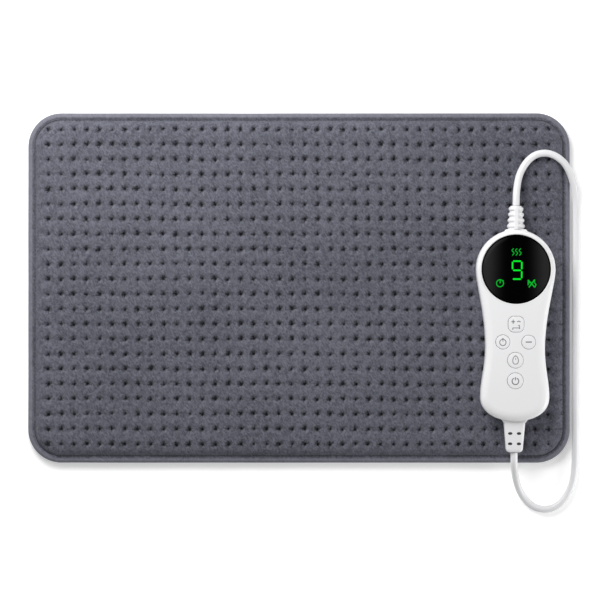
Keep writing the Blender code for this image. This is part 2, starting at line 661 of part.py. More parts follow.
def make_board_parts(frame):
    """What stands on the board's top, between the display and the buttons, and hangs below it."""
    top = BOARD_TOP + GAP
    under = BOARD_UNDERSIDE - GAP
    low = 1.8 * MM
    boxes = [
        ("film_capacitor", 6, 13, ROOM_ON_BOARD, (-10, -27.5), top, FILM_PART),
        ("controller_chip", 10, 10, -low, (0, -30), under, DARK_PART),
        ("triac", 10, 15, -0.8 * ROOM_UNDER_BOARD, (0, -55), under, DARK_PART),
        ("terminal_top", 12, 8, -0.9 * ROOM_UNDER_BOARD, (0, 13), under, TERMINAL),
        ("terminal_bottom", 12, 8, -0.9 * ROOM_UNDER_BOARD, (0, -91), under, TERMINAL),
    ]
    for name, width, length, height, (u, v), level, finish in boxes:
        size = (width * MM, length * MM, abs(height))
        put(name, box_mesh(size, 0.3 * MM), finish, (u * MM, v * MM, level + height / 2), frame)
    rods = [
        ("reservoir_capacitor", 3.15 * MM, ROOM_ON_BOARD, (10, -23.5)),
        ("buzzer", 4.5 * MM, 0.7 * ROOM_ON_BOARD, (10, -33)),
    ]
    for name, radius, height, (u, v) in rods:
        put(name, rod_mesh(radius, height), DARK_PART, (u * MM, v * MM, top + height / 2), frame)
    fuse_radius = 2.6 * MM
    put("glass_fuse", rod_mesh(fuse_radius, 20 * MM, 16, "Y"), FUSE_GLASS,
        (-1.5 * MM, -28 * MM, top + fuse_radius), frame)


def make_buttons(frame):
    """Each button's origin is on its own axis, at the top of its cap; it drops by its travel."""
    cap_top = CONTROL_HEIGHT + BUTTON_PROUD
    flange_top = FACE_UNDERSIDE - GAP - cap_top
    flange_low = flange_top - FLANGE_THICKNESS
    switch_top = BOARD_TOP + GAP + SWITCH_HEIGHT
    stem_low = switch_top - STEM_IN_SWITCH - cap_top
    for name, u, v, width in BUTTONS:
        at = (u, v, cap_top)
        cap = plate_mesh([button_outline(name, width)], flange_low + GAP, 0, [(0, BUTTON_ROUND)], 2)
        button = put(f"button_{name}", cap, WHITE_SOFT, at, frame)
        join(button, plate_mesh([button_outline(name, width, BUTTON_FLANGE)], flange_low, flange_top), at)
        join(button, rod_between(STEM_RADIUS, stem_low, flange_low + GAP, 12), at)
        switch = put(f"switch_{name}", box_mesh((SWITCH_SIDE, SWITCH_SIDE, SWITCH_HEIGHT)), DARK_PART,
                     (u, v, switch_top - SWITCH_HEIGHT / 2), frame)
        depth = STEM_IN_SWITCH + BUTTON_TRAVEL + 2 * GAP
        cut(switch, rod_between(STEM_RADIUS + GAP, switch_top - depth, switch_top + BEYOND, 12), (u, v, 0))


def make_clamps(frame):
    width, length, height = CLAMP_SIZE
    low = CONTROL_PARTING - GAP
    head_low = low + height + GAP
    profile = [
        (0, 1.2 * MM), (0.7 * CLAMP_SCREW_HEAD, 1.2 * MM),
        (CLAMP_SCREW_HEAD, 0.6 * MM), (CLAMP_SCREW_HEAD, 0),
        (CLAMP_SCREW_RADIUS, 0), (CLAMP_SCREW_RADIUS, -CLAMP_SCREW_LENGTH), (0, -CLAMP_SCREW_LENGTH),
    ]
    for end, v in clamp_places().items():
        clamp = put(f"cord_clamp_{end}", box_mesh(CLAMP_SIZE), WHITE_SOFT, (0, v, low + height / 2), frame)
        cut(clamp, rod_mesh(LEAD_RADIUS + GAP, length + BEYOND, 16, "Y"), (0, v, CONTROL_PARTING))
        for side, letter in ((-1, "a"), (1, "b")):
            u = side * CLAMP_SCREW_OFF
            cut(clamp, rod_between(CLAMP_SCREW_RADIUS + GAP, low - BEYOND, head_low + BEYOND, 8), (u, v, 0))
            turned(f"clamp_screw_{end}_{letter}", profile, STEEL, (u, v, head_low), frame, steps=8)


def make_top_boot(frame):
    """A ribbed tapering sleeve, held in the shells by a neck and an inner collar."""
    bore = LEAD_RADIUS + GAP
    base_radius, tip_radius = TOP_BOOT_RADII
    profile = [(bore, TOP_BOOT_LENGTH), (tip_radius, TOP_BOOT_LENGTH)]
    pitch = TOP_BOOT_LENGTH / (TOP_BOOT_GROOVES + 1)
    for groove in range(TOP_BOOT_GROOVES, 0, -1):
        middle = groove * pitch
        radius = base_radius + (tip_radius - base_radius) * middle / TOP_BOOT_LENGTH
        for side, depth in ((0.3, 0), (0.16, GROOVE_DEPTH), (-0.16, GROOVE_DEPTH), (-0.3, 0)):
            profile.append((radius - depth, middle + side * pitch))
    profile += [
        (base_radius, 0), (BOOT_NECK, 0), (BOOT_NECK, -COLLAR_DOWN), (BOOT_COLLAR, -COLLAR_DOWN),
        (BOOT_COLLAR, -COLLAR_DOWN - COLLAR_THICKNESS), (bore, -COLLAR_DOWN - COLLAR_THICKNESS),
    ]
    place = (0, HEAD_RADIUS + GAP, CONTROL_PARTING)
    turned("boot_top", profile, WHITE_SOFT, place, frame, (-math.pi / 2, 0, 0), 20, True)


def make_bottom_boot(frame):
    """A flattened tapering sleeve with four small slots, held in the shells as the top one is."""
    wide, narrow = (width / 2 for width in BOTTOM_BOOT_WIDTHS)
    start = -TAIL_DOWN - GAP
    end = start - BOTTOM_BOOT_LENGTH
    outline = [(wide, start), (-wide, start)]
    outline += arc((-narrow + BOTTOM_BOOT_ROUND, end + BOTTOM_BOOT_ROUND), BOTTOM_BOOT_ROUND, 180, 270, 4)
    outline += arc((narrow - BOTTOM_BOOT_ROUND, end + BOTTOM_BOOT_ROUND), BOTTOM_BOOT_ROUND, 270, 360, 4)
    low = CONTROL_PARTING - BOTTOM_BOOT_THICKNESS / 2
    high = CONTROL_PARTING + BOTTOM_BOOT_THICKNESS / 2
    whole = plate_mesh([outline], low, high, [(low, 2 * MM), (high, 2 * MM)], 2)
    boot = put("boot_bottom", whole, WHITE_SOFT, parent=frame)
    inner = -TAIL_DOWN + COLLAR_DOWN
    neck = inner + COLLAR_THICKNESS / 2 - start + BEYOND
    join(boot, rod_mesh(BOOT_NECK, neck, 20, "Y"), (0, start - BEYOND + neck / 2, CONTROL_PARTING))
    collar = rod_mesh(BOOT_COLLAR, COLLAR_THICKNESS, 20, "Y")
    join(boot, collar, (0, inner + COLLAR_THICKNESS / 2, CONTROL_PARTING))
    length = inner + COLLAR_THICKNESS - end + 2 * BEYOND
    bore = rod_mesh(LEAD_RADIUS + GAP, length, 16, "Y")
    cut(boot, bore, (0, end - BEYOND + length / 2, CONTROL_PARTING))
    for u, v in SLOTS:
        for side in (low, high):
            cut(boot, box_mesh((SLOT_SIZE[0], SLOT_SIZE[1], 2 * SLOT_DEPTH)), (u, start + v, side))


def make_lead_ends(frame):
    """The lead's own stretches inside the boots, as far as the board."""
    clamps = clamp_places()
    top = (clamps["top"] - LEAD_IN_CONTROL, HEAD_RADIUS + GAP + TOP_BOOT_LENGTH)
    bottom = (-TAIL_DOWN - GAP - BOTTOM_BOOT_LENGTH, clamps["bottom"] + LEAD_IN_CONTROL)
    for name, (low, high) in (("lead_end_top", top), ("lead_end_bottom", bottom)):
        rod = rod_mesh(LEAD_RADIUS, high - low, 12, "Y")
        put(name, rod, WHITE_SOFT, (0, (low + high) / 2, CONTROL_PARTING), frame)


# The lead

def smooth_through(points, step):
    """Evenly spaced points on a smooth curve through the given ones."""
    ends = [2 * points[0] - points[1]] + points + [2 * points[-1] - points[-2]]
    fine = []
    for a, b, c, d in zip(ends, ends[1:], ends[2:], ends[3:]):
        for i in range(24):
            t = i / 24
            fine.append(0.5 * (2 * b + (c - a) * t + (2 * a - 5 * b + 4 * c - d) * t**2
                               + (3 * b - a - 3 * c + d) * t**3))
    fine.append(points[-1])
    length = sum((b - a).length for a, b in zip(fine, fine[1:]))
    count = round(length / step)
    spaced = [fine[0]]
    gone = 0.0
    for a, b in zip(fine, fine[1:]):
        piece = (b - a).length
        while len(spaced) < count and gone + piece >= len(spaced) * length / count:
            share = (len(spaced) * length / count - gone) / piece
            spaced.append(a.lerp(b, share))
        gone += piece
    return spaced + [fine[-1]]


def route_point(from_edge, y, height):
    """A point of the lead's route, moved to suit the pad's width and thickness and the lead's radius."""
    thicker = PAD_THICKNESS - ROUTE_PAD_THICKNESS
    fatter = LEAD_RADIUS - ROUTE_LEAD_RADIUS
    on_pad = (height - ROUTE_ON_SURFACE) / (ROUTE_ON_PAD - ROUTE_ON_SURFACE)
    at_boot = (height - ROUTE_ON_PAD) / (ROUTE_AT_BOOT - ROUTE_ON_PAD)
    return Vector((
        PAD_WIDTH / 2 + from_edge + fatter * max(0, from_edge) / ROUTE_BESIDE,
        y,
        height + thicker * min(1, max(0, on_pad)) + fatter * (1 - min(1, max(0, at_boot))),
    ))


def make_lead():
    route = [route_point(*(MM * value for value in point)) for point in LEAD_ROUTE]
    points = smooth_through(route, LEAD_STEP)
    points.insert(1, (route[0] + route[1]) / 2)  # so that each end's cap is square to its boot
    points.insert(-1, (route[-1] + route[-2]) / 2)
    put("lead", tube_mesh(points, LEAD_RADIUS, 3), WHITE_SOFT)


def main():
    make_covers()
    make_padding()
    make_heating_wire()
    make_pad_sensors()
    make_entry()
    frame = control_frame()
    make_rear_shell(frame)
    make_front_shell(frame)
    make_case_screws(frame)
    make_display(frame)
    make_board(frame)
    make_board_parts(frame)
    make_buttons(frame)
    make_clamps(frame)
    make_top_boot(frame)
    make_bottom_boot(frame)
    make_lead_ends(frame)
    make_lead()


main()
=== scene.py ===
import math
import random

import bmesh
import bpy
from mathutils import Matrix, Vector, noise
from mathutils.geometry import interpolate_bezier


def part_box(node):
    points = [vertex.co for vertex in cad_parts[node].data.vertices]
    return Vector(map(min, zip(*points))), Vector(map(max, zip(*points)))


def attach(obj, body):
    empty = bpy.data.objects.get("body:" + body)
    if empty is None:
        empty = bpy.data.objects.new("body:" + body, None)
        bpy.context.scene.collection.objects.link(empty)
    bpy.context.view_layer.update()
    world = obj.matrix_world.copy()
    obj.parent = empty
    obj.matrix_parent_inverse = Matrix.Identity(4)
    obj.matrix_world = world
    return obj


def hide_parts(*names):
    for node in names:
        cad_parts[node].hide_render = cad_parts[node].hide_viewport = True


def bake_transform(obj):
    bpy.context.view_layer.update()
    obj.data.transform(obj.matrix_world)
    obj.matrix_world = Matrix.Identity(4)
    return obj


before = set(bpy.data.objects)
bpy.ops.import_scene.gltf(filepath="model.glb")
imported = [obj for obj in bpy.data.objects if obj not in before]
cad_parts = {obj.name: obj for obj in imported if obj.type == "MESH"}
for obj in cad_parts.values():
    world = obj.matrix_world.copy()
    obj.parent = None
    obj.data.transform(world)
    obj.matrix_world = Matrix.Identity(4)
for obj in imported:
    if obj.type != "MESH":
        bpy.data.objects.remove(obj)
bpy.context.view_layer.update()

mm = 0.001
random.seed(7)
scene = bpy.context.scene
bpy.ops.object.select_all(action="DESELECT")


# where things are, from the parts of model.glb

def boxOf(node):
    low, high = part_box(node)
    return Vector(low), Vector(high)


def middleOf(node):
    low, high = boxOf(node)
    return (low + high) / 2


padLow, padHigh = boxOf("edge_binding")
padTop = boxOf("cover_top")[1].z
lensMiddle = middleOf("display_lens")
bootLine = middleOf("boot_top") - middleOf("boot_bottom")
controlBack = boxOf("rear_shell")[0].z
# the hand control is modelled on its own axes: u across, v towards its head, h up from its back
controlPlace = Matrix.Translation((lensMiddle.x, lensMiddle.y, controlBack)) @ Matrix.Rotation(
    math.atan2(-bootLine.x, bootLine.y), 4, "Z"
)


# shader maths: a socket that adds, multiplies and so on by adding nodes

class Wire:
    def __init__(self, finish, socket):
        self.finish = finish
        self.socket = socket

    def maths(self, operation, other=0.0, third=0.0, swap=False):
        values = (other, self, third) if swap else (self, other, third)
        return self.finish.node("ShaderNodeMath", {"operation": operation}, dict(enumerate(values)))

    def __add__(self, other):
        return self.maths("ADD", other)

    def __sub__(self, other):
        return self.maths("SUBTRACT", other)

    def __rsub__(self, other):
        return self.maths("SUBTRACT", other, swap=True)

    def __mul__(self, other):
        return self.maths("MULTIPLY", other)

    def __truediv__(self, other):
        return self.maths("DIVIDE", other)

    def __rtruediv__(self, other):
        return self.maths("DIVIDE", other, swap=True)

    def __pow__(self, other):
        return self.maths("POWER", other)

    __radd__ = __add__
    __rmul__ = __mul__

    def within(self, low, high):
        settings = {"clamp": True, "interpolation_type": "SMOOTHSTEP"}
        inputs = {"Value": self, "From Min": low, "From Max": high}
        return self.finish.node("ShaderNodeMapRange", settings, inputs)


class Finish:
    def __init__(self, name, **constants):
        self.material = bpy.data.materials.new(name)
        self.material.use_nodes = True
        self.tree = self.material.node_tree
        self.shader = self.tree.nodes["Principled BSDF"]
        for socket, value in constants.items():
            self.shader.inputs[socket.replace("_", " ")].default_value = value

    def node(self, kind, settings=None, inputs=None, output=0):
        made = self.tree.nodes.new(kind)
        for name, value in (settings or {}).items():
            if name == "stops":
                while len(made.color_ramp.elements) < len(value):
                    made.color_ramp.elements.new(0.5)
                for element, (place, colour) in zip(made.color_ramp.elements, value):
                    element.position = place
                    element.color = (*colour, 1)
            else:
                setattr(made, name, value)
        for key, value in (inputs or {}).items():
            if isinstance(value, Wire):
                self.tree.links.new(value.socket, made.inputs[key])
            else:
                made.inputs[key].default_value = value
        return Wire(self, made.outputs[output])

    def feed(self, **wires):
        for name, wire in wires.items():
            self.tree.links.new(wire.socket, self.shader.inputs[name.replace("_", " ")])

    def place(self):
        return self.node("ShaderNodeTexCoord", output="Object")

    def noise(self, scale, detail=2.0, roughness=0.5, at=None, stretch=None, twist=0.0):
        where = at or self.place()
        if stretch:
            where = self.node("ShaderNodeMapping", None, {"Vector": where, "Scale": stretch})
        inputs = {"Vector": where, "Scale": scale, "Detail": detail, "Roughness": roughness,
                  "Distortion": twist}
        return self.node("ShaderNodeTexNoise", {"normalize": True}, inputs)

    def attribute(self, name):
        return self.node("ShaderNodeAttribute", {"attribute_name": name}, output="Fac")

    def mix(self, factor, first, second):
        inputs = {"Factor": factor, "A": (*first, 1) if isinstance(first, tuple) else first,
                  "B": (*second, 1) if isinstance(second, tuple) else second}
        made = self.tree.nodes.new("ShaderNodeMix")
        made.data_type = "RGBA"
        for socket in made.inputs:
            if not socket.enabled or socket.name not in inputs:
                continue
            value = inputs[socket.name]
            if isinstance(value, Wire):
                self.tree.links.new(value.socket, socket)
            else:
                socket.default_value = value
        return Wire(self, next(out for out in made.outputs if out.enabled))

    def bump(self, height, distance, strength=1.0, under=None):
        inputs = {"Height": height, "Distance": distance, "Strength": strength}
        if under:
            inputs["Normal"] = under
        return self.node("ShaderNodeBump", None, inputs)


def putFinish(piece, finish):
    piece.data.materials.clear()
    piece.data.materials.append(finish.material)


# camera, light and floor

studio = {
    "aim": (0.85 * mm, -10.2 * mm),  # the middle of the view
    "across": 508.2 * mm,            # how much of the table the view holds
    "lens": 250,
    "sensor": 36,
    "keyPlace": (-0.26, 0.50, 0.56),
    "keySize": 0.6,
    "keyPower": 9.0,
    "fillPlace": (0.88, -0.34, 0.13),
    "fillSize": 0.5,
    "fillPower": 5.2,
    "sky": 0.40,
    "floorGlow": 0.25,               # keeps the table white under soft shadows
}


def makeStudio():
    distance = studio["across"] * studio["lens"] / studio["sensor"]
    bpy.ops.object.camera_add(location=(*studio["aim"], distance + padTop), rotation=(0, 0, 0))
    camera = bpy.context.object
    camera.data.lens = studio["lens"]
    camera.data.sensor_width = studio["sensor"]
    camera.data.clip_end = 20
    scene.camera = camera
    scene.view_settings.view_transform = "Standard"
    world = bpy.data.worlds.new("studio")
    world.use_nodes = True
    world.node_tree.nodes["Background"].inputs["Color"].default_value = (1, 1, 1, 1)
    world.node_tree.nodes["Background"].inputs["Strength"].default_value = studio["sky"]
    scene.world = world
    for kind in ("key", "fill"):
        place = Vector(studio[kind + "Place"])
        aim = (-place).to_track_quat("-Z", "Y").to_euler()
        bpy.ops.object.light_add(type="AREA", location=place, rotation=aim)
        lamp = bpy.context.object
        lamp.data.energy = studio[kind + "Power"]
        lamp.data.size = studio[kind + "Size"]
    bpy.ops.mesh.primitive_plane_add(size=8, location=(0, 0, -0.2 * mm))
    floor = bpy.context.object
    floor.name = "table"
    pale = Finish("tablePaper", Roughness=0.9, Emission_Color=(1, 1, 1, 1),
                  Emission_Strength=studio["floorGlow"])
    tone = pale.noise(6, 2)
    pale.feed(Base_Color=pale.mix(tone, (0.93, 0.93, 0.93), (0.95, 0.95, 0.95)))
    putFinish(floor, pale)
    print("studio done")


# finishes

def plushFinish(name, quilted):
    pile = Finish(name, Roughness=0.92, Sheen_Weight=0.35, Sheen_Roughness=0.45, Specular_IOR_Level=0.12,
                  Sheen_Tint=(0.62, 0.63, 0.72, 1))
    brushed = pile.noise(210, 3, 0.62)                       # patches of pile lying differently
    strokes = pile.noise(330, 2, 0.55, twist=1.4)
    leaning = pile.node("ShaderNodeMapping", {"vector_type": "TEXTURE"},
                        {"Vector": pile.place(), "Rotation": (0, 0, 0.6), "Scale": (1, 3.6, 1)})
    hairs = pile.noise(1250, 2, 0.6, at=leaning, twist=0.5)
    broad = pile.noise(9, 1, 0.5)
    tone = 0.20 * brushed + 0.28 * strokes + 0.42 * hairs + 0.10 * broad
    colour = pile.mix(tone.within(0.34, 0.66), (0.041, 0.042, 0.054), (0.130, 0.132, 0.161))
    height = 0.36 * brushed + 0.34 * strokes + 0.30 * hairs
    if quilted:
        dark, light, sunk = tuftShading(pile, strokes)
        # painted highlight on each tuft's lower-right wall, which faces the lamp
        colour = pile.mix(light, colour, (0.23, 0.235, 0.275))
        # painted shade in the tufts' hollows, creases and upper-left sides (partly the pile's own darker
        # pressed colour in the hollows)
        colour = pile.mix(dark, colour, (0.004, 0.004, 0.006))
        height = height - sunk
    else:
        # painted sheen: the roll's outer side painted paler, standing in for light caught by the pile
        colour = pile.mix(pile.attribute("rim"), colour, (0.23, 0.232, 0.268))
    pile.feed(Base_Color=colour, Roughness=0.86 + 0.12 * brushed, Normal=pile.bump(height, 0.55 * mm, 0.85))
    return pile


def tuftShading(pile, strokes):
    # painted shade in each hollow (partly the pile's own darker, pressed colour), in the creases that run
    # from it and on its upper-left side, and a painted highlight on its lower-right wall, all from each
    # point's own offset from its tuft
    offset = pile.node("ShaderNodeAttribute", {"attribute_name": "tuft"}, output="Vector")
    seed = pile.attribute("seed")
    pull = pile.attribute("pull")
    inCell = 1 - pile.attribute("reach").within(3.8 * mm, 4.6 * mm)
    reach = pile.node("ShaderNodeVectorMath", {"operation": "LENGTH"}, {0: offset}, "Value")
    heading = pile.node("ShaderNodeVectorMath", {"operation": "NORMALIZE"}, {0: offset})
    x = pile.node("ShaderNodeSeparateXYZ", None, {"Vector": heading}, "X")
    y = pile.node("ShaderNodeSeparateXYZ", None, {"Vector": heading}, "Y")
    around = pile.node("ShaderNodeCombineXYZ", None, {"X": x, "Y": y, "Z": seed})
    rays = pile.noise(1.9, 2, 0.6, at=around)
    crease = rays.within(0.50, 0.64) * (1 - reach.within(0.9 * mm, 4.8 * mm)) ** 1.2
    towards = 0.66 * y - 0.75 * x                       # 1 on the upper left, -1 on the lower right
    ragged = reach * (0.60 + 0.80 * strokes) / (0.55 + 0.55 * pull) - 0.3 * mm * towards
    core = 1 - ragged.within(0.65 * mm, 1.65 * mm)
    # painted shade on each tuft's upper-left side, away from the lamp
    upperLeftShade = towards.within(-0.3, 1.0) * (1 - ragged.within(0.9 * mm, 4.8 * mm)) * rays.within(0.26, 0.56)
    rim = ragged.within(1.1 * mm, 1.9 * mm) * (1 - ragged.within(2.0 * mm, 3.8 * mm))
    # painted highlight on the lower-right wall
    wall = (0 - towards).within(0.1, 0.9) * rim
    # painted shade: hollow, creases and upper-left side together
    dark = inCell * pull * (0.97 * core + 0.66 * crease + 0.72 * upperLeftShade)
    dark = pile.node("ShaderNodeClamp", None, {"Value": dark, "Max": 0.97})
    return dark, inCell * wall * 0.16, inCell * pull * (0.8 * core + 0.9 * crease)


def threadFinish():
    thread = Finish("darkThread", Roughness=0.7, Sheen_Weight=0.2)
    twist = thread.noise(1800, 1, 0.5, stretch=(1, 1, 0.3))
    thread.feed(Base_Color=thread.mix(twist, (0.006, 0.006, 0.009), (0.03, 0.03, 0.04)),
                Normal=thread.bump(twist, 0.15 * mm))
    return thread


def mouldedFinish(name, colour, roughness, grain=0.012, spread=0.05, coat=0.0, metallic=0.0):
    cast = Finish(name, Coat_Weight=coat, Coat_Roughness=0.12, Metallic=metallic)
    tint = cast.noise(38, 2, 0.5)
    fine = cast.noise(2600, 2, 0.6)
    darker = tuple(value * (1 - spread) for value in colour)
    cast.feed(Base_Color=cast.mix(tint, darker, colour), Roughness=roughness + 0.10 * (tint - 0.5),
              Normal=cast.bump(fine, grain * mm, 0.6))
    return cast


def shellFinish():
    # satin white, the rounded sides painted a shade paler than the flat face as a painted highlight; the
    # sides are also a little glossier
    cast = Finish("whiteShell", Coat_Weight=0.12, Coat_Roughness=0.2)
    tint = cast.noise(38, 2, 0.5)
    side = cast.attribute("side")
    face = cast.mix(tint, (0.700, 0.700, 0.709), (0.718, 0.718, 0.727))
    # painted highlight: the sides paler than the face
    cast.feed(Base_Color=cast.mix(side, face, (0.73, 0.73, 0.737)),
              Roughness=0.44 - 0.06 * side + 0.08 * (tint - 0.5),
              Normal=cast.bump(cast.noise(2600, 2, 0.6), 0.01 * mm, 0.6))
    return cast


def lensFinish():
    # black, with a painted soft grey reflection towards both sides and the upper left
    radius = 29 * mm                    # the radius the painted reflection is laid out on
    lens = Finish("blackLens", Roughness=0.12, Specular_IOR_Level=0.02)
    local = lens.node("ShaderNodeMapping", {"vector_type": "TEXTURE"},
                      {"Vector": lens.place(), "Location": controlPlace.translation,
                       "Rotation": controlPlace.to_euler()})
    u = lens.node("ShaderNodeSeparateXYZ", None, {"Vector": local}, "X") / radius
    v = lens.node("ShaderNodeSeparateXYZ", None, {"Vector": local}, "Y") / radius
    out = (u * u + v * v) ** 0.5
    sides = (u * u).within(0.03, 0.75) * 0.75
    corner = (0.66 * v - 0.75 * u).within(0.72, 0.98) * out.within(0.84, 0.93) * 0.55
    cloud = 0.85 + 0.3 * lens.noise(60, 1, 0.5)
    paintedReflection = (sides + corner) * cloud * (1 - out.within(0.955, 0.975))
    lens.feed(Base_Color=lens.mix(paintedReflection, (0.0003, 0.0003, 0.0003), (0.024, 0.024, 0.0245)))
    return lens


def glowFinish(name, colour, strength):
    lit = Finish(name, Base_Color=(0.0, 0.01, 0.0, 1), Roughness=0.4, Specular_IOR_Level=0.0,
                 Emission_Strength=strength)
    spread = lit.noise(700, 1, 0.5)
    lit.feed(Emission_Color=lit.mix(spread, tuple(0.86 * value for value in colour), colour))
    return lit


finishes = {
    "plush": plushFinish("greyPlushQuilted", True),
    "edgePlush": plushFinish("greyPlushEdge", False),
    "thread": threadFinish(),
    "shell": shellFinish(),
    "rimWhite": mouldedFinish("whiteWindowRim", (0.70, 0.70, 0.706), 0.36, 0.010, 0.02, 0.25),
    "rear": mouldedFinish("whiteShellRear", (0.76, 0.76, 0.77), 0.48, 0.05, 0.03),
    "button": mouldedFinish("whiteButton", (0.715, 0.715, 0.724), 0.45, 0.02, 0.02),
    "soft": mouldedFinish("whiteSoftMoulding", (0.69, 0.69, 0.70), 0.42, 0.015, 0.03),
    "jacket": mouldedFinish("whiteLeadJacket", (0.68, 0.68, 0.69), 0.38, 0.02, 0.03, 0.1),
    "print": mouldedFinish("greyPrint", (0.16, 0.16, 0.17), 0.6, 0.01, 0.1),
    "lens": lensFinish(),
    # painted shade inside the bottom boot's slots
    "slot": mouldedFinish("slotShade", (0.10, 0.10, 0.11), 0.7, 0.01, 0.2),
    "glow": glowFinish("displayGreen", (0.004, 0.94, 0.03), 1.0),
    "glowDim": glowFinish("displayGreenDim", (0.004, 0.50, 0.03), 1.0),
    "dark": mouldedFinish("blackMoulding", (0.028, 0.028, 0.03), 0.5, 0.03, 0.25),
    "steel": mouldedFinish("zincPlate", (0.62, 0.62, 0.64), 0.34, 0.02, 0.12, 0.0, 1.0),
    "board": mouldedFinish("solderMask", (0.02, 0.15, 0.06), 0.42, 0.02, 0.35),
    "film": mouldedFinish("amberDip", (0.72, 0.47, 0.06), 0.35, 0.03, 0.2),
    "terminal": mouldedFinish("greenTerminal", (0.05, 0.22, 0.10), 0.5, 0.02, 0.2),
    "wadding": mouldedFinish("offWhiteWadding", (0.80, 0.79, 0.75), 0.95, 0.3, 0.12),
    "sleeve": mouldedFinish("siliconeSleeve", (0.74, 0.71, 0.67), 0.5, 0.02, 0.12),
    "glass": mouldedFinish("fuseGlass", (0.72, 0.75, 0.75), 0.08, 0.0, 0.1, 0.5),
}


# small tools

def pick(test, kind="FACE"):
    # selects what passes the test in the mesh that is being edited
    bpy.ops.mesh.select_mode(type=kind)
    bpy.ops.mesh.select_all(action="DESELECT")
    cage = bmesh.from_edit_mesh(bpy.context.object.data)
    for item in {"FACE": cage.faces, "EDGE": cage.edges, "VERT": cage.verts}[kind]:
        item.select_set(bool(test(item)))
    cage.select_flush_mode()
    bmesh.update_edit_mesh(bpy.context.object.data)


def editing(on=True):
    bpy.ops.object.mode_set(mode="EDIT" if on else "OBJECT")


def only(piece):
    bpy.ops.object.select_all(action="DESELECT")
    piece.select_set(True)
    bpy.context.view_layer.objects.active = piece
    return piece


def meshPiece(name, points, faces):
    mesh = bpy.data.meshes.new(name)
    mesh.from_pydata(points, [], faces)
    piece = bpy.data.objects.new(name, mesh)
    scene.collection.objects.link(piece)
    return only(piece)


def addValues(piece, name, values):
    # one number for each point, read by a finish
    piece.data.attributes.new(name, "FLOAT", "POINT").data.foreach_set("value", values)


def faceOutwards(piece, joinWithin=0.0):
    # turns every face outwards, after joining points closer than a distance
    only(piece)
    editing()
    bpy.ops.mesh.select_all(action="SELECT")
    if joinWithin:
        bpy.ops.mesh.remove_doubles(threshold=joinWithin)
    bpy.ops.mesh.normals_make_consistent(inside=False)
    editing(False)
    return piece


def tube(name, radius, roundness, runs, joinWithin):
    # a tube along each run: its points, each with its share of the radius, and whether it closes
    line = bpy.data.curves.new(name, "CURVE")
    line.dimensions = "3D"
    line.bevel_depth = radius
    line.bevel_resolution = roundness
    line.use_fill_caps = True
    for points, closed in runs:
        spline = line.splines.new("POLY")
        spline.points.add(len(points) - 1)
        spline.use_cyclic_u = closed
        for point, (place, share) in zip(spline.points, points):
            point.co = (*place, 1)
            point.radius = share
    piece = bpy.data.objects.new(name, line)
    scene.collection.objects.link(piece)
    only(piece)
    bpy.ops.object.convert(target="MESH")
    return faceOutwards(bpy.context.object, joinWithin)


def applyAll(piece):
    only(piece)
    for modifier in list(piece.modifiers):
        bpy.ops.object.modifier_apply(modifier=modifier.name)
    bpy.ops.object.transform_apply(location=True, rotation=True, scale=True)


def carve(piece, tool, operation="DIFFERENCE"):
    # cuts a tool out of a piece, or joins it on, and throws the tool away
    applyAll(tool)
    only(piece)
    step = piece.modifiers.new("carve", "BOOLEAN")
    step.operation = operation
    step.object = tool
    step.solver = "EXACT"
    step.material_mode = "TRANSFER"
    bpy.ops.object.modifier_apply(modifier="carve")
    bpy.data.objects.remove(tool)


def settle(piece, name, finish, body, nodes=(), place=None, smooth=35):
    # modifiers applied, place put in the mesh, finish and body given
    applyAll(piece)
    if place:
        piece.data.transform(place)
    if smooth:
        bpy.ops.object.shade_smooth_by_angle(angle=math.radians(smooth))
    piece.name = name
    piece.data.name = name
    if finish and not (len(piece.data.materials) and piece.data.materials[0]):
        putFinish(piece, finishes[finish])
    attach(piece, body)
    if nodes:
        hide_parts(*nodes)
    return piece


def rod(radius, low, high, at=(0, 0), sides=48):
    middle = (at[0], at[1], (low + high) / 2)
    bpy.ops.mesh.primitive_cylinder_add(vertices=sides, radius=radius, depth=high - low, location=middle)
    return bpy.context.object


def roundEdges(piece, width, segments=4, angle=40):
    step = piece.modifiers.new("round", "BEVEL")
    step.width = width
    step.segments = segments
    step.limit_method = "ANGLE"
    step.angle_limit = math.radians(angle)
    step.use_clamp_overlap = True
    return piece


def smoothThrough(points, each):
    # points on a smooth curve through the given ones
    ends = [2 * points[0] - points[1]] + points + [2 * points[-1] - points[-2]]
    found = []
    for a, b, c, d in zip(ends, ends[1:], ends[2:], ends[3:]):
        for i in range(each):
            t = i / each
            found.append(0.5 * (2 * b + (c - a) * t + (2 * a - 5 * b + 4 * c - d) * t**2
                                + (3 * b - a - 3 * c + d) * t**3))
    return found + [points[-1]]


# the lead: one length from the top boot to the bottom boot

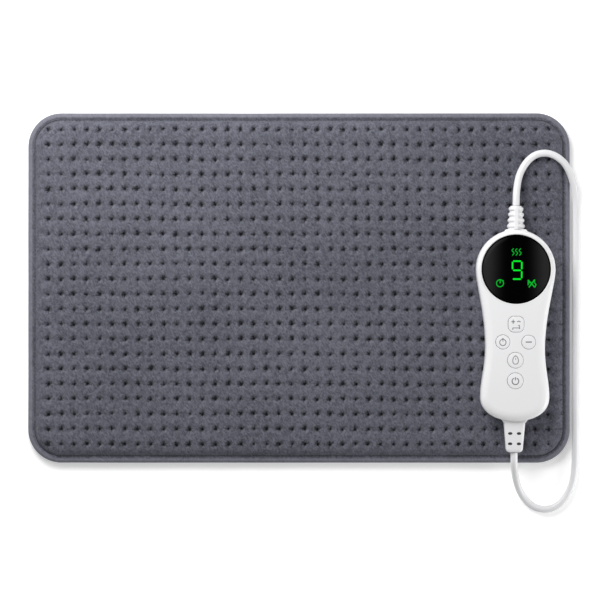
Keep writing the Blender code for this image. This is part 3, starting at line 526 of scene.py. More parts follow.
lead = {
    "diameter": 6 * mm,
    "roundness": 7,
    "route": [
        (0.18337, 0.0695, 0.0243), (0.18342, 0.0750, 0.0242), (0.1840, 0.0832, 0.0224),
        (0.1859, 0.0934, 0.0192), (0.1893, 0.1014, 0.0177), (0.1945, 0.1084, 0.0174),
        (0.2007, 0.1127, 0.0174), (0.2078, 0.1141, 0.0174), (0.2147, 0.1127, 0.0174),
        (0.2207, 0.1092, 0.0171), (0.2255, 0.1044, 0.0156), (0.2293, 0.0980, 0.0129),
        (0.2320, 0.0908, 0.0099), (0.2338, 0.0832, 0.0068), (0.2347, 0.0747, 0.0044),
        (0.2349, 0.0645, 0.0033), (0.2349, 0.0407, 0.0031), (0.2349, -0.0102, 0.0031),
        (0.2349, -0.0611, 0.0031), (0.2349, -0.1120, 0.0031), (0.2347, -0.1417, 0.0031),
        (0.2341, -0.1545, 0.0031), (0.2326, -0.1638, 0.0031), (0.2298, -0.1719, 0.0031),
        (0.2256, -0.1789, 0.0031), (0.2202, -0.1842, 0.0031), (0.2139, -0.1873, 0.0031),
        (0.2073, -0.1880, 0.0031), (0.2007, -0.1863, 0.0031), (0.1948, -0.1823, 0.0035),
        (0.1899, -0.1766, 0.0052), (0.1864, -0.1700, 0.0084), (0.1838, -0.1620, 0.0134),
        (0.1824, -0.1548, 0.0187), (0.1817, -0.1486, 0.0227), (0.1816, -0.1440, 0.0242),
        (0.18156, -0.13925, 0.0243),
    ],
    "blendFrom": (0.2320, 0, 0),
    "blendTo": (0.1842, 0, 0),
}


def makeLead():
    path = smoothThrough([Vector(point) for point in lead["route"]], 7)
    run = ([(place, 1) for place in path], False)
    piece = tube("lead_cord", lead["diameter"] / 2, lead["roundness"], [run], 0.01 * mm)
    bpy.ops.object.shade_smooth_by_angle(angle=math.radians(50))
    putFinish(piece, finishes["jacket"])
    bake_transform(piece)
    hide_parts("lead")
    length = sum((b - a).length for a, b in zip(path, path[1:]))
    print("lead done, length", round(length, 4))


# the pad: two plush covers quilted together, sewn into a rolled edge

pad = {
    "size": (padHigh.x - padLow.x, padHigh.y - padLow.y),
    "corner": 28.5 * mm,
    "seamIn": 6.3 * mm,         # from the edge to the seam
    "seamTop": 8.2 * mm,
    "seamBottom": 4.4 * mm,
    "crown": (12 * mm, 5.5 * mm),  # over what distance the top rises from the seam, and how far
    "belly": (7 * mm, 4.2 * mm),
    "rowFirst": 133.9 * mm,
    "rowStep": -12.7 * mm,
    "rows": 23,
    "columnFirst": -212.2 * mm,
    "columnStep": 10.865 * mm,
    "columns": 41,
    "cells": (9, 10),           # mesh cells from one tuft to the next
    "gather": 0.5,              # how much finer the mesh is at a tuft
    "pitDepth": 3.1 * mm,
    "pitFloor": 10.95 * mm,
    "dimple": 3.3 * mm,         # the radius over which the cover dips to a tuft
    "top": 14.2 * mm,
    "simScale": 20,
    "simFrames": (1, 18, 20),   # the first, the one the cover is taken at, and the last
    "cloth": {
        "quality": 4,
        "mass": 0.05,
        "tension_stiffness": 12,
        "compression_stiffness": 12,
        "shear_stiffness": 4,
        "bending_stiffness": 0.02,
        "use_pressure": True,
        "uniform_pressure_force": 12.0,
        "shrink_min": -0.035,
    },
    "mayMove": (0.6 * mm, 0.8 * mm, 0.9 * mm),  # aside, down and up, from where the cover started
    "margin": 1.2 * mm,         # mesh cells beyond the outer tufts
    "underStep": 2.7 * mm,      # mesh cells of the lower cover
}


def roundedDistance(x, y, inset=0.0):
    # how far a point lies inside the pad's outline, drawn in by an inset
    half = Vector((pad["size"][0] / 2 - inset, pad["size"][1] / 2 - inset))
    radius = pad["corner"] - inset
    across = Vector((abs(x) - half.x + radius, abs(y) - half.y + radius))
    outside = Vector((max(across.x, 0), max(across.y, 0))).length
    return radius - outside - min(max(across.x, across.y), 0)


def tuftPlaces():
    # each tuft: its centre, its strength, and the creases that run from it
    found = []
    for row in range(pad["rows"]):
        for column in range(pad["columns"]):
            x = pad["columnFirst"] + column * pad["columnStep"]
            y = pad["rowFirst"] + row * pad["rowStep"]
            if row == pad["rows"] - 1:
                y += 3.2 * mm
            drift = noise.noise_vector(Vector((x * 14, y * 14, 3.1)))
            x += drift.x * 0.9 * mm + random.uniform(-0.35, 0.35) * mm
            y += drift.y * 0.9 * mm + random.uniform(-0.35, 0.35) * mm
            inside = roundedDistance(x, y, pad["seamIn"])
            strength = random.uniform(0.55, 1.12) * min(1, max(0, inside / (4 * mm)))
            creases = []
            for _ in range(random.choice((1, 2, 2, 3))):
                heading = math.radians(random.gauss(125, 55))
                creases.append((heading, random.uniform(2.5, 6.0) * mm, random.uniform(0.25, 0.65) * mm))
            if inside > 0.8 * mm:
                found.append((x, y, strength, creases))
    return found


def gridLines(first, step, count, cells, high):
    # lines through every tuft, closer together at the tufts, out to the seam on both sides
    gather = pad["gather"]
    margin = pad["margin"]
    low = -high
    lines = []
    for i in range(count - 1):
        for k in range(cells):
            s = k / cells
            eased = s - gather * math.sin(2 * math.pi * s) / (2 * math.pi)
            lines.append(first + step * (i + eased))
    lines.append(first + step * (count - 1))
    lines.sort()
    before = max(1, round((lines[0] - low) / margin))
    after = max(1, round((high - lines[-1]) / margin))
    start = [low + (lines[0] - low) * k / before for k in range(before)]
    end = [high - (high - lines[-1]) * k / after for k in range(after)]
    return start + lines + end[::-1]


def roundCorner(x, y, half, radius):
    # presses a square sheet's corners into round ones
    a = (abs(x) - half[0] + radius) / radius
    b = (abs(y) - half[1] + radius) / radius
    if a <= 0 or b <= 0:
        return x, y
    newA = a * math.sqrt(1 - b * b / 2)
    newB = b * math.sqrt(1 - a * a / 2)
    return (math.copysign(half[0] - radius + newA * radius, x),
            math.copysign(half[1] - radius + newB * radius, y))


class TuftMap:
    # finds the tufts near a point quickly
    def __init__(self, tufts):
        self.size = 8 * mm
        self.bins = {}
        for tuft in tufts:
            self.bins.setdefault(self.key(tuft[0], tuft[1]), []).append(tuft)

    def key(self, x, y):
        return (math.floor(x / self.size), math.floor(y / self.size))

    def near(self, x, y):
        i, j = self.key(x, y)
        for di in (-1, 0, 1):
            for dj in (-1, 0, 1):
                yield from self.bins.get((i + di, j + dj), ())


def topHeight(x, y, tufts):
    inside = roundedDistance(x, y, pad["seamIn"])
    over, rise = pad["crown"]
    share = min(1, max(0, inside / over))
    z = pad["seamTop"] + rise * (1 - (1 - share) ** 2) ** 0.92
    z += 0.35 * mm * noise.noise(Vector((x * 45, y * 45, 0.5))) * share
    dip = 0.0
    for tx, ty, strength, creases in tufts.near(x, y):
        dx = x - tx
        dy = y - ty
        reach = math.hypot(dx, dy)
        core = math.exp(-((reach / (1.25 * mm)) ** 2))
        pit = 0.62 * core + 0.38 * math.exp(-reach / (0.62 * pad["dimple"]))
        depth = pad["pitDepth"] * strength * pit
        for heading, length, deep in creases:
            along = dx * math.cos(heading) + dy * math.sin(heading)
            beside = -dx * math.sin(heading) + dy * math.cos(heading)
            if 0 < along < length:
                across = math.exp(-((beside / (0.75 * mm)) ** 2))
                depth += deep * (1 - along / length) * across * min(1, along / mm)
        dip = max(dip, depth) + 0.15 * min(dip, depth)
    floor = min(z, pad["pitFloor"])
    return min(max(z - dip, floor), pad["top"])


def quads(rows, length, ringed=False):
    # the faces between neighbouring rows of points, closed both ways for a ring
    steps = (rows, length) if ringed else (rows - 1, length - 1)
    for i in range(steps[0]):
        for j in range(steps[1]):
            here, there = (k % rows * length for k in (i, i + 1))
            after = (j + 1) % length
            yield here + j, there + j, there + after, here + after


def sheet(name, xs, ys, height, half, radius):
    # a sheet of quads over crossing lines, with round corners
    points = []
    for x in xs:
        for y in ys:
            px, py = roundCorner(x, y, half, radius)
            points.append((px, py, height(px, py)))
    return meshPiece(name, points, list(quads(len(xs), len(ys))))


def puffed(piece, tufts):
    # the upper cover filled out by cloth simulation, held at its tufts and along its seam
    group = piece.vertex_groups.new(name="held")
    held = []
    for vertex in piece.data.vertices:
        x, y, z = vertex.co
        inside = roundedDistance(x, y, pad["seamIn"])
        gap = min((math.hypot(x - t[0], y - t[1]) for t in tufts.near(x, y) if t[2] > 0.2), default=1)
        if inside < 1.2 * mm or gap < 0.8 * mm:
            held.append(vertex.index)
    group.add(held, 1.0, "REPLACE")
    before = [vertex.co.copy() for vertex in piece.data.vertices]
    piece.data.transform(Matrix.Scale(pad["simScale"], 4))
    cloth = piece.modifiers.new("puff", "CLOTH")
    for setting, value in pad["cloth"].items():
        setattr(cloth.settings, setting, value)
    cloth.settings.vertex_group_mass = "held"
    cloth.settings.effector_weights.gravity = 0
    cloth.collision_settings.use_collision = False
    first, stop, last = pad["simFrames"]
    for timeline in (scene, cloth.point_cache):
        timeline.frame_start = first
        timeline.frame_end = last
    for step in range(first, stop + 1):
        scene.frame_set(step)
    only(piece)
    bpy.ops.object.modifier_apply(modifier="puff")
    scene.frame_set(first)
    piece.data.transform(Matrix.Scale(1 / pad["simScale"], 4))
    moved = 0.0
    aside, sink, rise = pad["mayMove"]
    for vertex, old in zip(piece.data.vertices, before):
        change = vertex.co - old
        moved = max(moved, change.length)
        change.x = max(-aside, min(aside, change.x))
        change.y = max(-aside, min(aside, change.y))
        change.z = max(-sink, min(rise, change.z))
        vertex.co = old + change
        vertex.co.z = min(vertex.co.z, pad["top"])
    print("the cover moved up to", round(moved * 1000, 2), "mm")


def bottomHeight(x, y, tufts):
    inside = roundedDistance(x, y, pad["seamIn"])
    over, drop = pad["belly"]
    share = min(1, max(0, inside / over))
    z = pad["seamBottom"] - drop * math.sqrt(max(0, 1 - (1 - share) ** 2))
    for tx, ty, strength, _ in tufts.near(x, y):
        z += 1.1 * mm * strength * math.exp(-math.hypot(x - tx, y - ty) / (1.6 * mm)) * share
    return min(max(z, 0.15 * mm), 4.9 * mm)


def makeCovers():
    tufts = TuftMap(tuftPlaces())
    half = (pad["size"][0] / 2 - pad["seamIn"], pad["size"][1] / 2 - pad["seamIn"])
    radius = pad["corner"] - pad["seamIn"]
    cellsX, cellsY = pad["cells"]
    xs = gridLines(pad["columnFirst"], pad["columnStep"], pad["columns"], cellsX, half[0])
    ys = gridLines(pad["rowFirst"], pad["rowStep"], pad["rows"] - 1, cellsY, half[1])
    top = sheet("plush_covers", xs, ys, lambda x, y: topHeight(x, y, tufts), half, radius)
    puffed(top, tufts)
    steps = [round(2 * reach / pad["underStep"]) for reach in half]
    lines = [[reach * (2 * k / count - 1) for k in range(count + 1)] for reach, count in zip(half, steps)]
    bottom = sheet("under", *lines, lambda x, y: bottomHeight(x, y, tufts), half, radius)
    bottom.data.flip_normals()
    only(top)
    bottom.select_set(True)
    bpy.ops.object.join()
    editing()
    pick(lambda side: side.is_boundary, "EDGE")
    bpy.ops.mesh.bridge_edge_loops()
    editing(False)
    faceOutwards(top)
    mesh = top.data
    offsets, seeds, pulls, reaches = [], [], [], []
    for vertex in mesh.vertices:
        x, y, z = vertex.co
        nearest = min(tufts.near(x, y), key=lambda tuft: math.hypot(x - tuft[0], y - tuft[1]), default=None)
        if nearest is None or z < 5 * mm:
            nearest = (x + 9 * mm, y, 0, ())
        offsets += [x - nearest[0], y - nearest[1], 0]
        reaches.append(math.hypot(x - nearest[0], y - nearest[1]))
        seeds.append(37 * nearest[0] * 1000 % 91 + 0.7 * (nearest[1] * 1000 % 13))
        pulls.append(min(1, max(0, nearest[2])))
    mesh.attributes.new("tuft", "FLOAT_VECTOR", "POINT").data.foreach_set("vector", offsets)
    addValues(top, "seed", seeds)
    addValues(top, "pull", pulls)
    addValues(top, "reach", reaches)
    mesh.shade_smooth()
    putFinish(top, finishes["plush"])
    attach(top, "root")
    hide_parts("cover_top", "cover_bottom")
    print("covers done,", len(mesh.polygons), "faces")


edge = {
    "step": 1.25 * mm,
    "parting": 5.4,             # the height that divides the upper part of the roll from the lower
    # the roll's section, from the outside over the top to the seam and back below: distance in, height
    "section": [(0.0, 5.4), (0.12, 6.4), (0.5, 7.3), (1.2, 8.0), (2.2, 8.45), (3.3, 8.6), (4.3, 8.5),
                (5.0, 8.15), (5.6, 8.0), (6.2, 7.85), (7.2, 7.3), (8.0, 6.2), (7.2, 5.2), (6.1, 4.7),
                (5.4, 4.3), (4.6, 3.7), (3.6, 3.15), (2.4, 2.95), (1.3, 3.2), (0.55, 3.8), (0.12, 4.6)],
    "rim": (3.6, 0.36),         # how far in the painted sheen on the roll's outer side reaches, and how much paler it paints the pile
    "wobble": 0.28 * mm,
    "stitchStep": 3.1 * mm,
    "stitchLong": 2.1 * mm,
    "stitchThick": 0.42 * mm,
    "stitchIn": 6.0 * mm,
    "stitchHeight": 8.25 * mm,
}


def outlineWalk(inset, step):
    # points round the pad's outline with the inward direction and the distance gone
    half = Vector((pad["size"][0] / 2, pad["size"][1] / 2))
    radius = pad["corner"]
    straightX = 2 * (half.x - radius)
    straightY = 2 * (half.y - radius)
    quarter = math.pi * radius / 2
    total = 2 * (straightX + straightY) + 4 * quarter
    count = round(total / step)
    corners = [((half.x, -half.y + radius), 0), ((half.x - radius, half.y), 90),
               ((-half.x, half.y - radius), 180), ((-half.x + radius, -half.y), 270)]
    for k in range(count):
        gone = k * total / count
        left = gone
        for side, (start, heading) in enumerate(corners):
            run = straightY if side % 2 == 0 else straightX
            angle = math.radians(heading)
            outward = Vector((math.cos(angle), math.sin(angle)))
            along = Vector((-outward.y, outward.x))
            if left < run:
                yield Vector(start) + along * left - outward * inset, -outward, gone
                break
            left -= run
            if left < quarter:
                turn = angle + left / radius
                centre = Vector(start) + along * run - outward * radius
                out = Vector((math.cos(turn), math.sin(turn)))
                yield centre + out * (radius - inset), -out, gone
                break
            left -= quarter


def makeEdge():
    section = edge["section"]
    points = []
    for place, inward, gone in outlineWalk(0, edge["step"]):
        soft = noise.noise(Vector((gone * 30, 0, 0)))
        pucker = math.sin(2 * math.pi * gone / edge["stitchStep"])
        for depth, height in section:
            d = depth * mm
            z = height * mm
            towards = max(0, 1 - abs(depth - 5.2) / 2.2)
            above = height > edge["parting"]
            lift = edge["wobble"] * soft * (1 if above else -0.6)
            z += lift + 0.16 * mm * pucker * towards * (1 if above else -1)
            slip = edge["wobble"] * (0.5 + 0.5 * noise.noise(Vector((gone * 18, 5, 0)))) if depth < 3 else 0
            spot = place + inward * (d + slip)
            points.append((spot.x, spot.y, z))
    count = len(points) // len(section)
    faces = list(quads(count, len(section), True))
    piece = faceOutwards(meshPiece("rolled_edge", points, faces))
    reach, sheenLift = edge["rim"]
    # the roll's outer side gets a painted sheen
    paintedSheen = [sheenLift if depth < reach else 0.0 for depth, _ in section] * count
    addValues(piece, "rim", paintedSheen)
    piece.data.shade_smooth()
    putFinish(piece, finishes["edgePlush"])
    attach(piece, "root")
    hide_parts("edge_binding")
    print("edge done")


def makeStitches():
    # one stitch, copied along the seam and turned with it
    bpy.ops.mesh.primitive_cylinder_add(vertices=6, radius=edge["stitchThick"],
                                        depth=0.7 * edge["stitchLong"], rotation=(0, math.pi / 2, 0))
    stitch = bpy.context.object
    applyAll(stitch)
    editing()
    for side in (-1, 1):
        pick(lambda face, side=side: face.normal.x * side > 0.9)
        bpy.ops.mesh.extrude_region_move(
            TRANSFORM_OT_translate={"value": (side * 0.15 * edge["stitchLong"], 0, -0.12 * mm)})
        bpy.ops.transform.resize(value=(1, 0.45, 0.45))
    editing(False)
    shape = stitch.data
    many = bmesh.new()
    for place, inward, _ in outlineWalk(edge["stitchIn"], edge["stitchStep"]):
        if random.random() < 0.12:
            continue
        copy = shape.copy()
        copy.transform(Matrix.Scale(random.uniform(0.7, 1.25), 4, (1, 0, 0)))
        lean = random.uniform(-0.12, 0.12)
        turn = Matrix.Rotation(math.atan2(inward.y, inward.x) - math.pi / 2 + lean, 4, "Z")
        height = edge["stitchHeight"] + random.uniform(-0.12, 0.12) * mm
        copy.transform(Matrix.Translation((place.x, place.y, height)) @ turn)
        many.from_mesh(copy)
        bpy.data.meshes.remove(copy)
    mesh = bpy.data.meshes.new("seam_thread")
    many.to_mesh(mesh)
    many.free()
    bpy.data.objects.remove(stitch)
    piece = bpy.data.objects.new("seam_thread", mesh)
    scene.collection.objects.link(piece)
    mesh.shade_smooth()
    putFinish(piece, finishes["thread"])
    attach(piece, "root")
    print("stitches done")


# the hand control: two shells, a window, five buttons and a boot at each end

control = {
    "head": 33.4 * mm,                  # the round head's radius
    "waist": (25 * mm, 66 * mm),        # half its width, and how far down
    "hip": (29 * mm, 108 * mm),
    "tail": 128 * mm,
    "height": 22 * mm,
    "parting": 10 * mm,
    "gap": 0.12 * mm,
    "wall": 2 * mm,
    "faceRound": (7.6 * mm, 5.8 * mm),  # how far in, and how far down
    "backRound": (3.6 * mm, 3.4 * mm),
    "roundSteps": 10,
    "buttonGap": 0.22 * mm,
    "buttonTop": 22.25 * mm,
    "buttons": {
        "plus": (0.3, -46.3, 13.2),
        "timer": (-10.8, -61.4, 11.8),
        "minus": (11.0, -61.4, 11.6),
        "mode": (0.0, -76.7, 13.2),
        "power": (0.0, -94.0, 13.3),
    },
    "squareCorner": 4.8 * mm,
    "screws": [(-24, 12), (24, 12), (-20.5, -107), (20.5, -107)],
    "screwHead": 2.6 * mm,
    "screwSunk": 3 * mm,
    "labelSize": (30 * mm, 40 * mm),    # the shallow recess in the back
    "labelAt": (0, -50 * mm),
    "rim": (30 * mm, 0.85 * mm),        # the window's rim: its radius and its thickness
    "rimHeight": 21.25 * mm,
    "lens": (19.5 * mm, 21.85 * mm),    # the window's underside and top
}


def controlEdge(each=14):
    # the plan: a round head, a slim waist and a wider tail, drawn on the right and mirrored
    head = control["head"]
    waist, down = control["waist"]
    hip, hipDown = control["hip"]
    tail = control["tail"]
    bulge = 0.5523 * head
    spans = [
        ((0, head), (bulge, head), (head, bulge), (head, 0)),
        ((head, 0), (head, -0.18 * down), (waist, -0.58 * down), (waist, -down)),
        ((waist, -down), (waist, -down - 18 * mm), (hip, -hipDown + 14 * mm), (hip, -hipDown)),
        ((hip, -hipDown), (hip, -hipDown - 11.5 * mm), (18.5 * mm, -tail), (0, -tail)),
    ]
    right = []
    for span in spans:
        right += [tuple(p) for p in interpolate_bezier(*(Vector(q) for q in span), each + 1)[:-1]]
    right.append((0, -tail))
    return right + [(-u, v) for u, v in reversed(right[1:-1])]


def ring(radius, at=(0, 0), sides=48):
    turns = [2 * math.pi * k / sides for k in range(sides)]
    return [(at[0] + radius * math.cos(t), at[1] + radius * math.sin(t)) for t in turns]


def roundedSquare(wide, tall, corner, at=(0, 0), each=8):
    points = []
    for quarter, (su, sv) in enumerate(((1, 1), (-1, 1), (-1, -1), (1, -1))):
        for k in range(each + 1):
            t = (quarter + k / each) * math.pi / 2
            points.append((at[0] + su * (wide / 2 - corner) + corner * math.cos(t),
                           at[1] + sv * (tall / 2 - corner) + corner * math.sin(t)))
    return points


def plate(points, low, high):
    # a flat plate with the given plan
    piece = meshPiece("plate", [(u, v, low) for u, v in points], [tuple(range(len(points)))])
    editing()
    bpy.ops.mesh.select_all(action="SELECT")
    bpy.ops.mesh.extrude_region_move(TRANSFORM_OT_translate={"value": (0, 0, high - low)})
    editing(False)
    return faceOutwards(piece)


def isFlatAt(height, side):
    return lambda face: face.normal.z * side > 0.9 and abs(face.calc_center_median().z - height) < 0.01 * mm


def shellHalf(start, end, rounding):
    # a hollow half: walls up from the parting, a wide rounding, and a flat face
    across, down = rounding
    side = 1 if end > start else -1
    piece = plate(controlEdge(), start, end - side * down)
    editing()
    pick(isFlatAt(end - side * down, side))
    steps = control["roundSteps"]
    for k in range(steps):
        a, b = (math.pi / 2 * turn / steps for turn in (k, k + 1))
        bpy.ops.mesh.inset(thickness=across * (math.cos(a) - math.cos(b)),
                           depth=down * (math.sin(b) - math.sin(a)))
    for width in (0.3, 0.6):
        bpy.ops.mesh.inset(thickness=width * mm, depth=0)
    pick(isFlatAt(start, -side))
    bpy.ops.mesh.delete(type="FACE")
    editing(False)
    wall = piece.modifiers.new("wall", "SOLIDIFY")
    wall.thickness = control["wall"]
    wall.offset = -1
    wall.use_even_offset = True
    applyAll(piece)
    return piece


def buttonPlan(name, grow=0.0):
    u, v, wide = (value * mm for value in control["buttons"][name])
    if name == "plus":
        return roundedSquare(wide + 2 * grow, wide + 2 * grow, control["squareCorner"] + grow, (u, v))
    return ring(wide / 2 + grow, (u, v))


def holeTool(points, middle, low, top, flare):
    # cuts a hole whose rim is broken by a small flare
    tool = plate(points, low, top - flare)
    reach = max(abs(u - middle[0]) for u, v in points)
    grown = 1 + 2 * flare / reach
    editing()
    pick(isFlatAt(top - flare, 1))
    bpy.ops.mesh.extrude_region_move(TRANSFORM_OT_translate={"value": (0, 0, 2 * flare)})
    bpy.ops.transform.resize(value=(grown, grown, 1), center_override=(*middle, top))
    editing(False)
    return tool


def makeFrontShell():
    shell = shellHalf(control["parting"] + control["gap"], control["height"], control["faceRound"])
    carve(shell, rod(boxOf("display_lens")[1].x - lensMiddle.x + 0.1 * mm, 17 * mm, 25 * mm, sides=96))
    for name, (u, v, _) in control["buttons"].items():
        plan = buttonPlan(name, control["buttonGap"])
        carve(shell, holeTool(plan, (u * mm, v * mm), 18 * mm, control["height"], 0.4 * mm))
    for shoulder in shoulders(control["parting"] + 5.2 * mm):
        carve(shell, shoulder, "UNION")
    settle(shell, "shell_front", "shell", "hand_control", ["front_shell"], controlPlace, 32)
    back = controlPlace.inverted()
    heights = [(back @ vertex.co).z for vertex in shell.data.vertices]
    # marks the rounded sides, which the shell finish paints paler as a painted highlight
    sides = [min(1, max(0, (control["height"] - 0.03 * mm - height) / (0.3 * mm))) for height in heights]
    addValues(shell, "side", sides)
    radius, thick = control["rim"]
    bpy.ops.mesh.primitive_torus_add(major_radius=radius, minor_radius=thick, major_segments=96,
                                     minor_segments=16, location=(0, 0, control["rimHeight"]))
    settle(bpy.context.object, "window_rim", "rimWhite", "hand_control", (), controlPlace)
    print("front shell done")


def shoulders(height):
    # where each boot meets the shell the plan flares out to it
    for end, start in ((1, control["head"]), (-1, -control["tail"])):
        wide = (13.4, 11.3, 9.9, 9.1, 8.7) if end > 0 else (12.4, 11.0, 10.2, 9.7, 9.4)
        first = start - end * (3.2 if end > 0 else 1.9) * mm
        right = [(w * mm, first + end * (0.2 + k * 0.85) * mm) for k, w in enumerate(wide)]
        points = [(0.6 * w * mm, first - end * 2 * mm) for w in wide[:1]] + right
        points += [(-u, v) for u, v in reversed(points)]
        base = control["parting"] + control["gap"]
        piece = plate(points if end < 0 else points[::-1], base, height)
        yield roundEdges(piece, 1.2 * mm, 4, 60)


def makeRearShell():
    shell = shellHalf(control["parting"] - control["gap"], 0, control["backRound"])
    for u, v in control["screws"]:
        top = control["screwSunk"] + 1.5 * mm
        carve(shell, rod(control["screwHead"] + 0.5 * mm, -mm, top, (u * mm, v * mm)))
    carve(shell, plate(roundedSquare(*control["labelSize"], 3 * mm, control["labelAt"]), -mm, 0.25 * mm))
    settle(shell, "shell_rear", "rear", "hand_control", ["rear_shell"], controlPlace, 32)
    print("rear shell done")


def makeScrews():
    # one screw with a cross recess, copied to the four places
    radius = control["screwHead"]
    sunk = control["screwSunk"]
    screw = rod(radius, sunk, sunk + 1.7 * mm, sides=32)
    roundEdges(screw, 0.35 * mm, 3)
    applyAll(screw)
    for wide, tall in ((3.2, 0.75), (0.75, 3.2)):
        bpy.ops.mesh.primitive_cube_add(size=1, location=(0, 0, sunk), scale=(wide * mm, tall * mm, 1.9 * mm))
        carve(screw, bpy.context.object)
    carve(screw, rod(1.3 * mm, sunk + 1.2 * mm, 14 * mm, sides=24), "UNION")
    copies = []
    for u, v in control["screws"]:
        copy = screw.copy()
        copy.data = screw.data.copy()
        turn = Matrix.Rotation(random.uniform(0, 1.5), 4, "Z")
        copy.data.transform(Matrix.Translation((u * mm, v * mm, 0)) @ turn)
        scene.collection.objects.link(copy)
        copies.append(copy)
    bpy.data.objects.remove(screw)
    only(copies[0])
    for copy in copies:
        copy.select_set(True)
    bpy.ops.object.join()
    nodes = [f"case_screw_{k}" for k in range(1, 5)]
    settle(copies[0], "case_screws", "steel", "hand_control", nodes, controlPlace)
    print("screws done")


def makeLens():
    radius = boxOf("display_lens")[1].x - lensMiddle.x - 0.05 * mm
    lens = rod(radius, *control["lens"], sides=128)
    roundEdges(lens, 0.5 * mm, 4)
    settle(lens, "display_window", "lens", "hand_control", ["display_lens"], controlPlace)
    print("window done")


tapered = 0.55                  # how much of a stroke's width is left at its ends


def strokes(name, lines, finish, height, body, at=(0, 0)):
    # flat strokes lying on a face: each is (width, points) in millimetres, closed if it ends where it began
    runs = []
    for wide, points in lines:
        closed = points[0] == points[-1]
        if closed:
            shares = [(point, 1) for point in points[:-1]]
        else:
            first, last = Vector(points[0]), Vector(points[-1])
            near = first + (Vector(points[1]) - first).normalized() * 0.3 * wide
            far = last + (Vector(points[-2]) - last).normalized() * 0.3 * wide
            shares = [(first, tapered), (near, 1)] + [(point, 1) for point in points[1:-1]]
            shares += [(far, 1), (last, tapered)]
        placed = [((at[0] + place[0]) * mm, (at[1] + place[1]) * mm, 0) for place, _ in shares]
        runs.append(([(place, share * wide / 2) for place, (_, share) in zip(placed, shares)], closed))
    piece = tube(name, mm, 2, runs, 0.001 * mm)
    piece.data.transform(Matrix.Translation((0, 0, height + 0.01 * mm)) @ Matrix.Diagonal((1, 1, 0.07, 1)))
    return settle(piece, name, finish, body, (), controlPlace, 0)


def arcLine(radius, start, end, middle=(0, 0), squash=1.0, count=28):
    turns = [math.radians(start + (end - start) * k / count) for k in range(count + 1)]
    return [(middle[0] + radius * math.cos(t), middle[1] + radius * squash * math.sin(t)) for t in turns]


def eggLine(wide, tall, middle, count=28):
    turns = [math.radians(90 + 360 * k / count) for k in range(count + 1)]
    bulges = [math.copysign(abs(math.cos(t)) ** 0.8, math.cos(t)) for t in turns]
    return [(middle[0] + wide * bulge * (1 - 0.16 * math.sin(t)), middle[1] + tall * math.sin(t))
            for t, bulge in zip(turns, bulges)]


def closedLine(points):
    return points[:-1] + [points[0]]


icons = {
    "plus": [(0.8, [(-4.2, 2.1), (-1.0, 2.1)]), (0.8, [(-2.6, 3.9), (-2.6, 0.3)]),
             (0.8, [(0.6, 2.1), (1.5, 2.2), (2.2, 2.8), (2.8, 2.2), (3.8, 2.1)]),
             (0.8, [(-2.9, -4.6), (-2.8, -3.1), (2.8, -3.1), (3.0, -4.0)]),
             (0.8, [(2.8, -3.1), (2.7, -0.7), (1.7, -1.3)])],
    "timer": [(0.72, closedLine(arcLine(2.65, 90, 450, (0, -0.3)))), (0.55, [(0, 3.4), (0, 0.2)]),
              (0.6, [(-0.6, 3.0), (0.6, 3.0)])],
    "minus": [(0.95, [(-2.6, 0.2), (2.6, 0.2)])],
    "mode": [(0.62, closedLine(eggLine(2.35, 3.4, (0, 0.2)))), (0.5, [(0, 0.2), (0.15, 2.2)]),
             (0.5, [(-0.7, 3.6), (0, 4.1), (0.7, 3.6)])],
    "power": [(0.85, arcLine(2.8, 112, 428, (0, -0.3))), (0.8, [(0, 3.2), (0, 0.4)])],
}

litDigit = [
    (1.28, [(-2.7, 6.8), (4.0, 6.8)]), (1.28, [(-3.2, 6.3), (-3.2, 0.0)]), (1.28, [(4.6, 6.3), (4.6, 0.0)]),
    (1.28, [(-2.7, -0.9), (4.0, -0.9)]), (1.28, [(4.6, -1.6), (4.6, -7.6)]),
    (1.28, [(-2.8, -8.3), (4.0, -8.3)]),
]
heatWave = [(0.6, 17.4), (-0.35, 16.6), (-0.95, 15.9), (-0.5, 15.1),
            (0.6, 14.3), (0.9, 13.4), (0.2, 12.5), (-0.6, 11.6)]
litIcons = [
    (0.8, closedLine(arcLine(2.95, 90, 450, (-13.6, -11.9)))), (0.8, [(-13.5, -8.4), (-13.5, -12.0)]),
    (0.8, [(-11.4, -10.0), (-10.6, -9.4)]),
    (0.85, [(10.1, -8.8), (10.1, -13.4)]), (1.0, [(10.1, -9.0), (15.7, -15.1)]),
    (1.0, [(15.6, -8.5), (10.7, -15.2)]), (0.85, [(15.6, -8.5), (15.3, -11.0), (16.7, -12.8), (15.7, -15.1)]),
    (0.85, [(10.1, -11.4), (13.0, -11.2)]),
]


def makeMarks():
    onLens = control["lens"][1] + 0.01 * mm
    waves = [(0.68, [(x + shift, y) for x, y in heatWave]) for shift in (-2.9, 0.1, 3.1)]
    strokes("lit_digit", litDigit, "glow", onLens, "hand_control")
    strokes("lit_signs", litIcons + waves, "glowDim", onLens, "hand_control")
    print("marks done")


def makeButtons():
    for name, (u, v, _) in control["buttons"].items():
        cap = plate(buttonPlan(name), 18.6 * mm, control["buttonTop"])
        roundEdges(cap, 0.5 * mm, 4)
        body = f"{name}_button"
        settle(cap, f"{name}_cap", "button", body, [f"button_{name}"], controlPlace)
        strokes(f"{name}_print", icons[name], "print", control["buttonTop"], body, (u, v))
    print("buttons done")


boots = {
    "axis": 10 * mm,
    "topStart": 33.0 * mm,
    "topEnd": 53.5 * mm,
    "topWide": (7.85 * mm, 6.0 * mm),
    "ribs": 4,
    "ribDepth": 1.15 * mm,
    "strip": 3.8 * mm,
    "bottomStart": -127.6 * mm,
    "bottomEnd": -154.5 * mm,
    "bottomWide": (18.4 * mm, 14.4 * mm),
    "bottomThick": 11 * mm,
    "slots": [(u, v) for v in (-138.5, -147.2) for u in (-3.7, 3.7)],
}


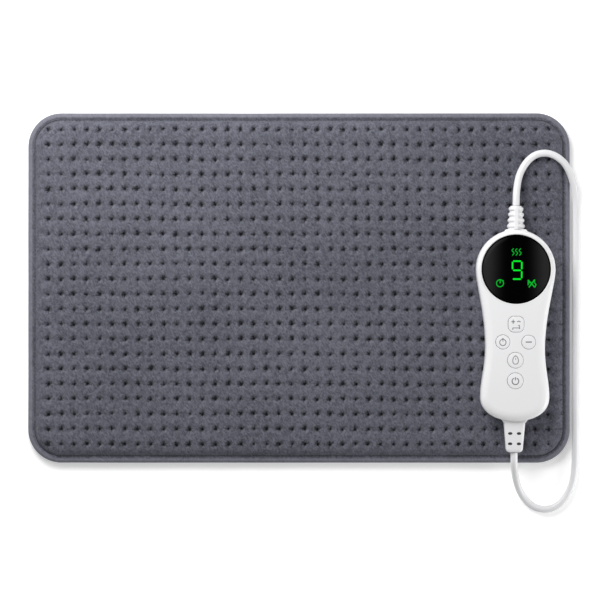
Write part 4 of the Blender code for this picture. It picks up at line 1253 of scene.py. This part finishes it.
def makeTopBoot():
    axis = boots["axis"]
    start, end = boots["topStart"], boots["topEnd"]
    wide, narrow = boots["topWide"]
    depth = boots["ribDepth"]
    thick = 1.25 * mm
    bpy.ops.mesh.primitive_cone_add(vertices=48, radius1=wide - depth, radius2=narrow - depth,
                                    depth=end - start, rotation=(-math.pi / 2, 0, 0),
                                    location=(0, (start + end) / 2, axis))
    core = bpy.context.object
    roundEdges(core, 0.6 * mm, 3)
    applyAll(core)
    pitch = (end - start) / (boots["ribs"] + 0.25)
    for k in range(boots["ribs"]):
        v = start + (k + 0.72) * pitch
        radius = wide + (narrow - wide) * (v - start) / (end - start)
        bpy.ops.mesh.primitive_torus_add(major_radius=radius - thick, minor_radius=thick,
                                         major_segments=48, minor_segments=14,
                                         rotation=(math.pi / 2, 0, 0), location=(0, v, axis))
        rib = bpy.context.object
        applyAll(rib)
        rib.data.transform(Matrix.Translation((0, v, 0)) @ Matrix.Diagonal((1, 1.35, 1, 1))
                           @ Matrix.Translation((0, -v, 0)))
        carve(core, rib, "UNION")
    lean = math.atan((wide - narrow) / (end - start))
    for side in (1, -1):
        reach = (wide + narrow) / 2 - 1.7 * mm
        place = (0, (start + end) / 2 - 0.3 * mm, axis + side * reach)
        bpy.ops.mesh.primitive_cube_add(size=1, location=place, rotation=(-side * lean, 0, 0),
                                        scale=(boots["strip"], end - start - mm, 3 * mm))
        strip = bpy.context.object
        bpy.ops.object.transform_apply(location=False, rotation=False, scale=True)
        roundEdges(strip, 0.7 * mm, 3)
        carve(core, strip, "UNION")
    settle(core, "boot_ribbed", "soft", "hand_control", ["boot_top"], controlPlace)
    print("top boot done")


def makeBottomBoot():
    axis = boots["axis"]
    start, end = boots["bottomStart"], boots["bottomEnd"]
    wide, narrow = (width / 2 for width in boots["bottomWide"])
    corner = 3.5 * mm
    points = [(-wide, start), (wide, start)]
    for side, first in ((1, 0), (-1, -90)):
        for k in range(9):
            t = math.radians(first - 90 * k / 8)
            points.append((side * (narrow - corner) + corner * math.cos(t),
                           end + corner + corner * math.sin(t)))
    half = boots["bottomThick"] / 2
    boot = plate(points, axis - half, axis + half)
    roundEdges(boot, 2.2 * mm, 5, 50)
    applyAll(boot)
    for u, v in boots["slots"]:
        for side in (1, -1):
            bpy.ops.mesh.primitive_cylinder_add(vertices=32, radius=mm, depth=2.6 * mm, scale=(1.85, 1.2, 1),
                                                location=(u * mm, v * mm, axis + side * half))
            slot = bpy.context.object
            # the slot tools carry a dark finish into the cut: painted shade inside the slots
            putFinish(slot, finishes["slot"])
            if not boot.data.materials:
                putFinish(boot, finishes["soft"])
            carve(boot, slot)
    settle(boot, "boot_slotted", "soft", "hand_control", ["boot_bottom"], controlPlace)
    print("bottom boot done")


inside = {
    "wadding": ["wadding_lower", "wadding_upper", "wire_carrier"],
    "sleeve": ["heating_wire"],
    "dark": ["cutout_left", "cutout_right", "temperature_sensor", "lead_entry", "junction_base",
             "junction_lid", "led_display", "controller_chip", "triac", "reservoir_capacitor", "buzzer",
             "switch_plus", "switch_timer", "switch_minus", "switch_mode", "switch_power"],
    "steel": ["thermal_fuse", "clamp_screw_top_a", "clamp_screw_top_b", "clamp_screw_bottom_a",
              "clamp_screw_bottom_b"],
    "board": ["circuit_board"],
    "film": ["film_capacitor"],
    "terminal": ["terminal_top", "terminal_bottom"],
    "glass": ["glass_fuse"],
    "soft": ["cord_clamp_top", "cord_clamp_bottom"],
    "jacket": ["lead_end_top", "lead_end_bottom"],
}


def dressInside():
    for finish, nodes in inside.items():
        for node in nodes:
            putFinish(bpy.data.objects[node], finishes[finish])
    print("inner pieces done")


makeStudio()
makeLead()
makeCovers()
makeEdge()
makeStitches()
makeFrontShell()
makeRearShell()
makeScrews()
makeLens()
makeMarks()
makeButtons()
makeTopBoot()
makeBottomBoot()
dressInside()
